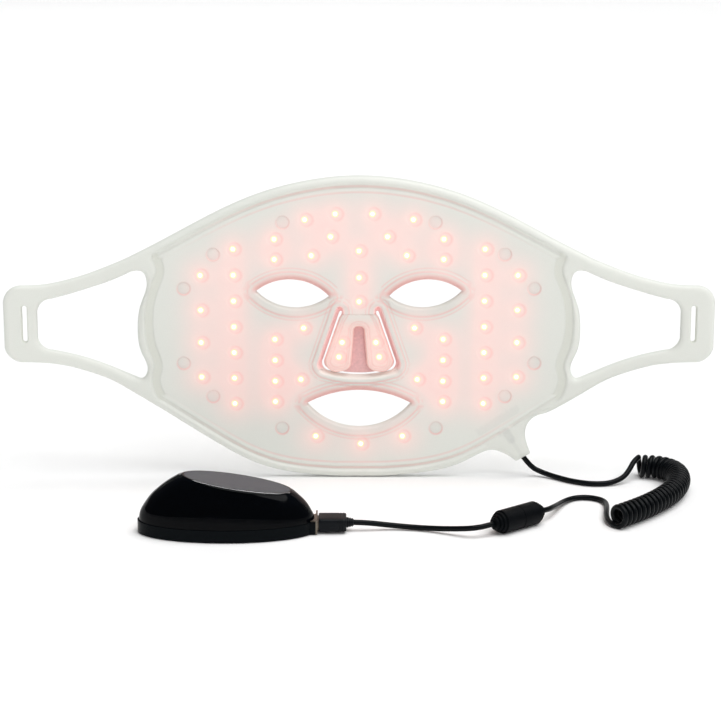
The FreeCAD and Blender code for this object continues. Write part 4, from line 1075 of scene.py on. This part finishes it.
# the ends of the flat oval at the top, as (x, z)
CROWN_ENDS = (-24.6, 33.8), (36.8, 24)
CROWN_HALF_WIDTH = 14.8
# (inset, depth below the crown) of the rounded brow and then of the button's recess
CROWN_STEPS = [(-1.3, 0.95), (-0.95, 0.5), (-0.5, 0.18), (0, 0.03), (0.5, 0), (0.95, 0), (1.12, 0.08),
               (1.2, 0.3), (1.2, 2.4)]


def cover():
    """The gloss cover: a smooth loft of tilted ovals with a recess for the button."""
    raw = np.array(SECTIONS)
    spacing = 10.0
    table = [smooth(np.column_stack([np.arange(len(raw)) * spacing, raw[:, k]]), 0.25) for k in range(5)]
    ovals = []
    for t in np.linspace(0, len(raw) - 1, 40):
        x0, z0, x1, z1, half = (float(np.interp(t * spacing, line[:, 0], line[:, 1])) for line in table)
        a, b = Vector((x0, 0, z0)), Vector((x1, 0, z1))
        ovals.append(((a + b) / 2, (b - a) / 2, half))
    (ax, az), (bx, bz) = CROWN_ENDS
    along = Vector((bx - ax, 0, bz - az))
    long_half = along.length / 2
    along.normalize()
    normal = Vector((-along.z, 0, along.x))
    middle = Vector(((ax + bx) / 2, 0, (az + bz) / 2))
    for inset, sink in CROWN_STEPS:
        # the recess narrows less than it shortens
        wide = CROWN_HALF_WIDTH - (inset * 0.42 if inset > 0 else inset)
        ovals.append((middle - normal * sink, along * (long_half - inset), wide))
    count = 160
    rows = []
    for centre, reach, wide in ovals:
        angles = [2 * math.pi * k / count for k in range(count)]
        rows.append([COVER_PLACE + centre + reach * math.cos(a) + Vector((0, 1, 0)) * wide * math.sin(a)
                     for a in angles])
    piece = skin_over("gloss_cover_skin", rows, GLOSS, 50)
    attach(piece, "controller")
    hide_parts("gloss_cover")
    return piece


cover_piece = cover()


# ---- floor and light
def add_stage():
    """A round paper floor whose far edge sweeps up, so that low views have a pale background too."""
    count = 96
    flat, sweep = 10, 3
    profile = [(sweep, 0), (flat, 0)]
    profile += [(flat + sweep * math.sin(a), sweep * (1 - math.cos(a))) for a in np.linspace(0.1, 1.4, 14)]
    verts = [(0, 0, 0)]
    for radius, height in profile:
        for k in range(count):
            a = 2 * math.pi * k / count
            verts.append((radius * math.cos(a), radius * math.sin(a), height))
    faces = [(0, 1 + k, 1 + (k + 1) % count) for k in range(count)]
    for row in range(len(profile) - 1):
        for k in range(count):
            a, b = 1 + row * count + k, 1 + row * count + (k + 1) % count
            faces.append((a, a + count, b + count, b))
    mesh = bpy.data.meshes.new("floor")
    mesh.from_pydata(verts, [], faces)
    mesh.shade_smooth()
    floor_finish = material("floor_paper", (250, 250, 250), 0.85, vary=0.004, grain=30, bump=0)
    add_object("floor", mesh, floor_finish)


def soft_box(name, place, target, size, power, glossy=False):
    """An area light at a place, facing a target; unless glossy, nothing mirrors it."""
    data = bpy.data.lights.new(name, "AREA")
    data.shape = "RECTANGLE"
    data.size, data.size_y = size
    data.energy = power
    lamp = add_object(name, data)
    lamp.location = place
    lamp.rotation_euler = (Vector(target) - Vector(place)).to_track_quat("-Z", "Y").to_euler()
    lamp.visible_glossy = glossy
    return lamp


def add_lights():
    """A wide overhead sun, a fill in front and one behind, a dim sky and a glint for the gloss cover only."""
    sun = bpy.data.lights.new("overhead", "SUN")
    sun.energy = 2.8
    sun.angle = math.radians(64)
    lamp = add_object("overhead", sun)
    lamp.rotation_euler = Vector((0.30, -0.10, 1)).to_track_quat("Z", "Y").to_euler()
    soft_box("front_fill", (0.5, -2.4, 1.25), (0, 0.05, 0.08), (1.6, 1), 13.6)
    soft_box("back_fill", (-0.7, 2.4, 1.5), (0, 0.05, 0.08), (1.6, 1), 9)
    glint = soft_box("glint", (0.25, 0.85, 0.95), (-0.05, -0.05, 0.03), (0.9, 0.8), 170, glossy=True)
    receivers = bpy.data.collections.new("glint_receivers")
    receivers.objects.link(cover_piece)
    glint.light_linking.receiver_collection = receivers
    world = bpy.data.worlds.new("studio")
    bpy.context.scene.world = world
    world.use_nodes = True
    background = world.node_tree.nodes["Background"]
    background.inputs["Color"].default_value = (1, 1, 1, 1)
    background.inputs["Strength"].default_value = 0.14


add_stage()
add_lights()
bpy.context.scene.view_settings.view_transform = "Standard"
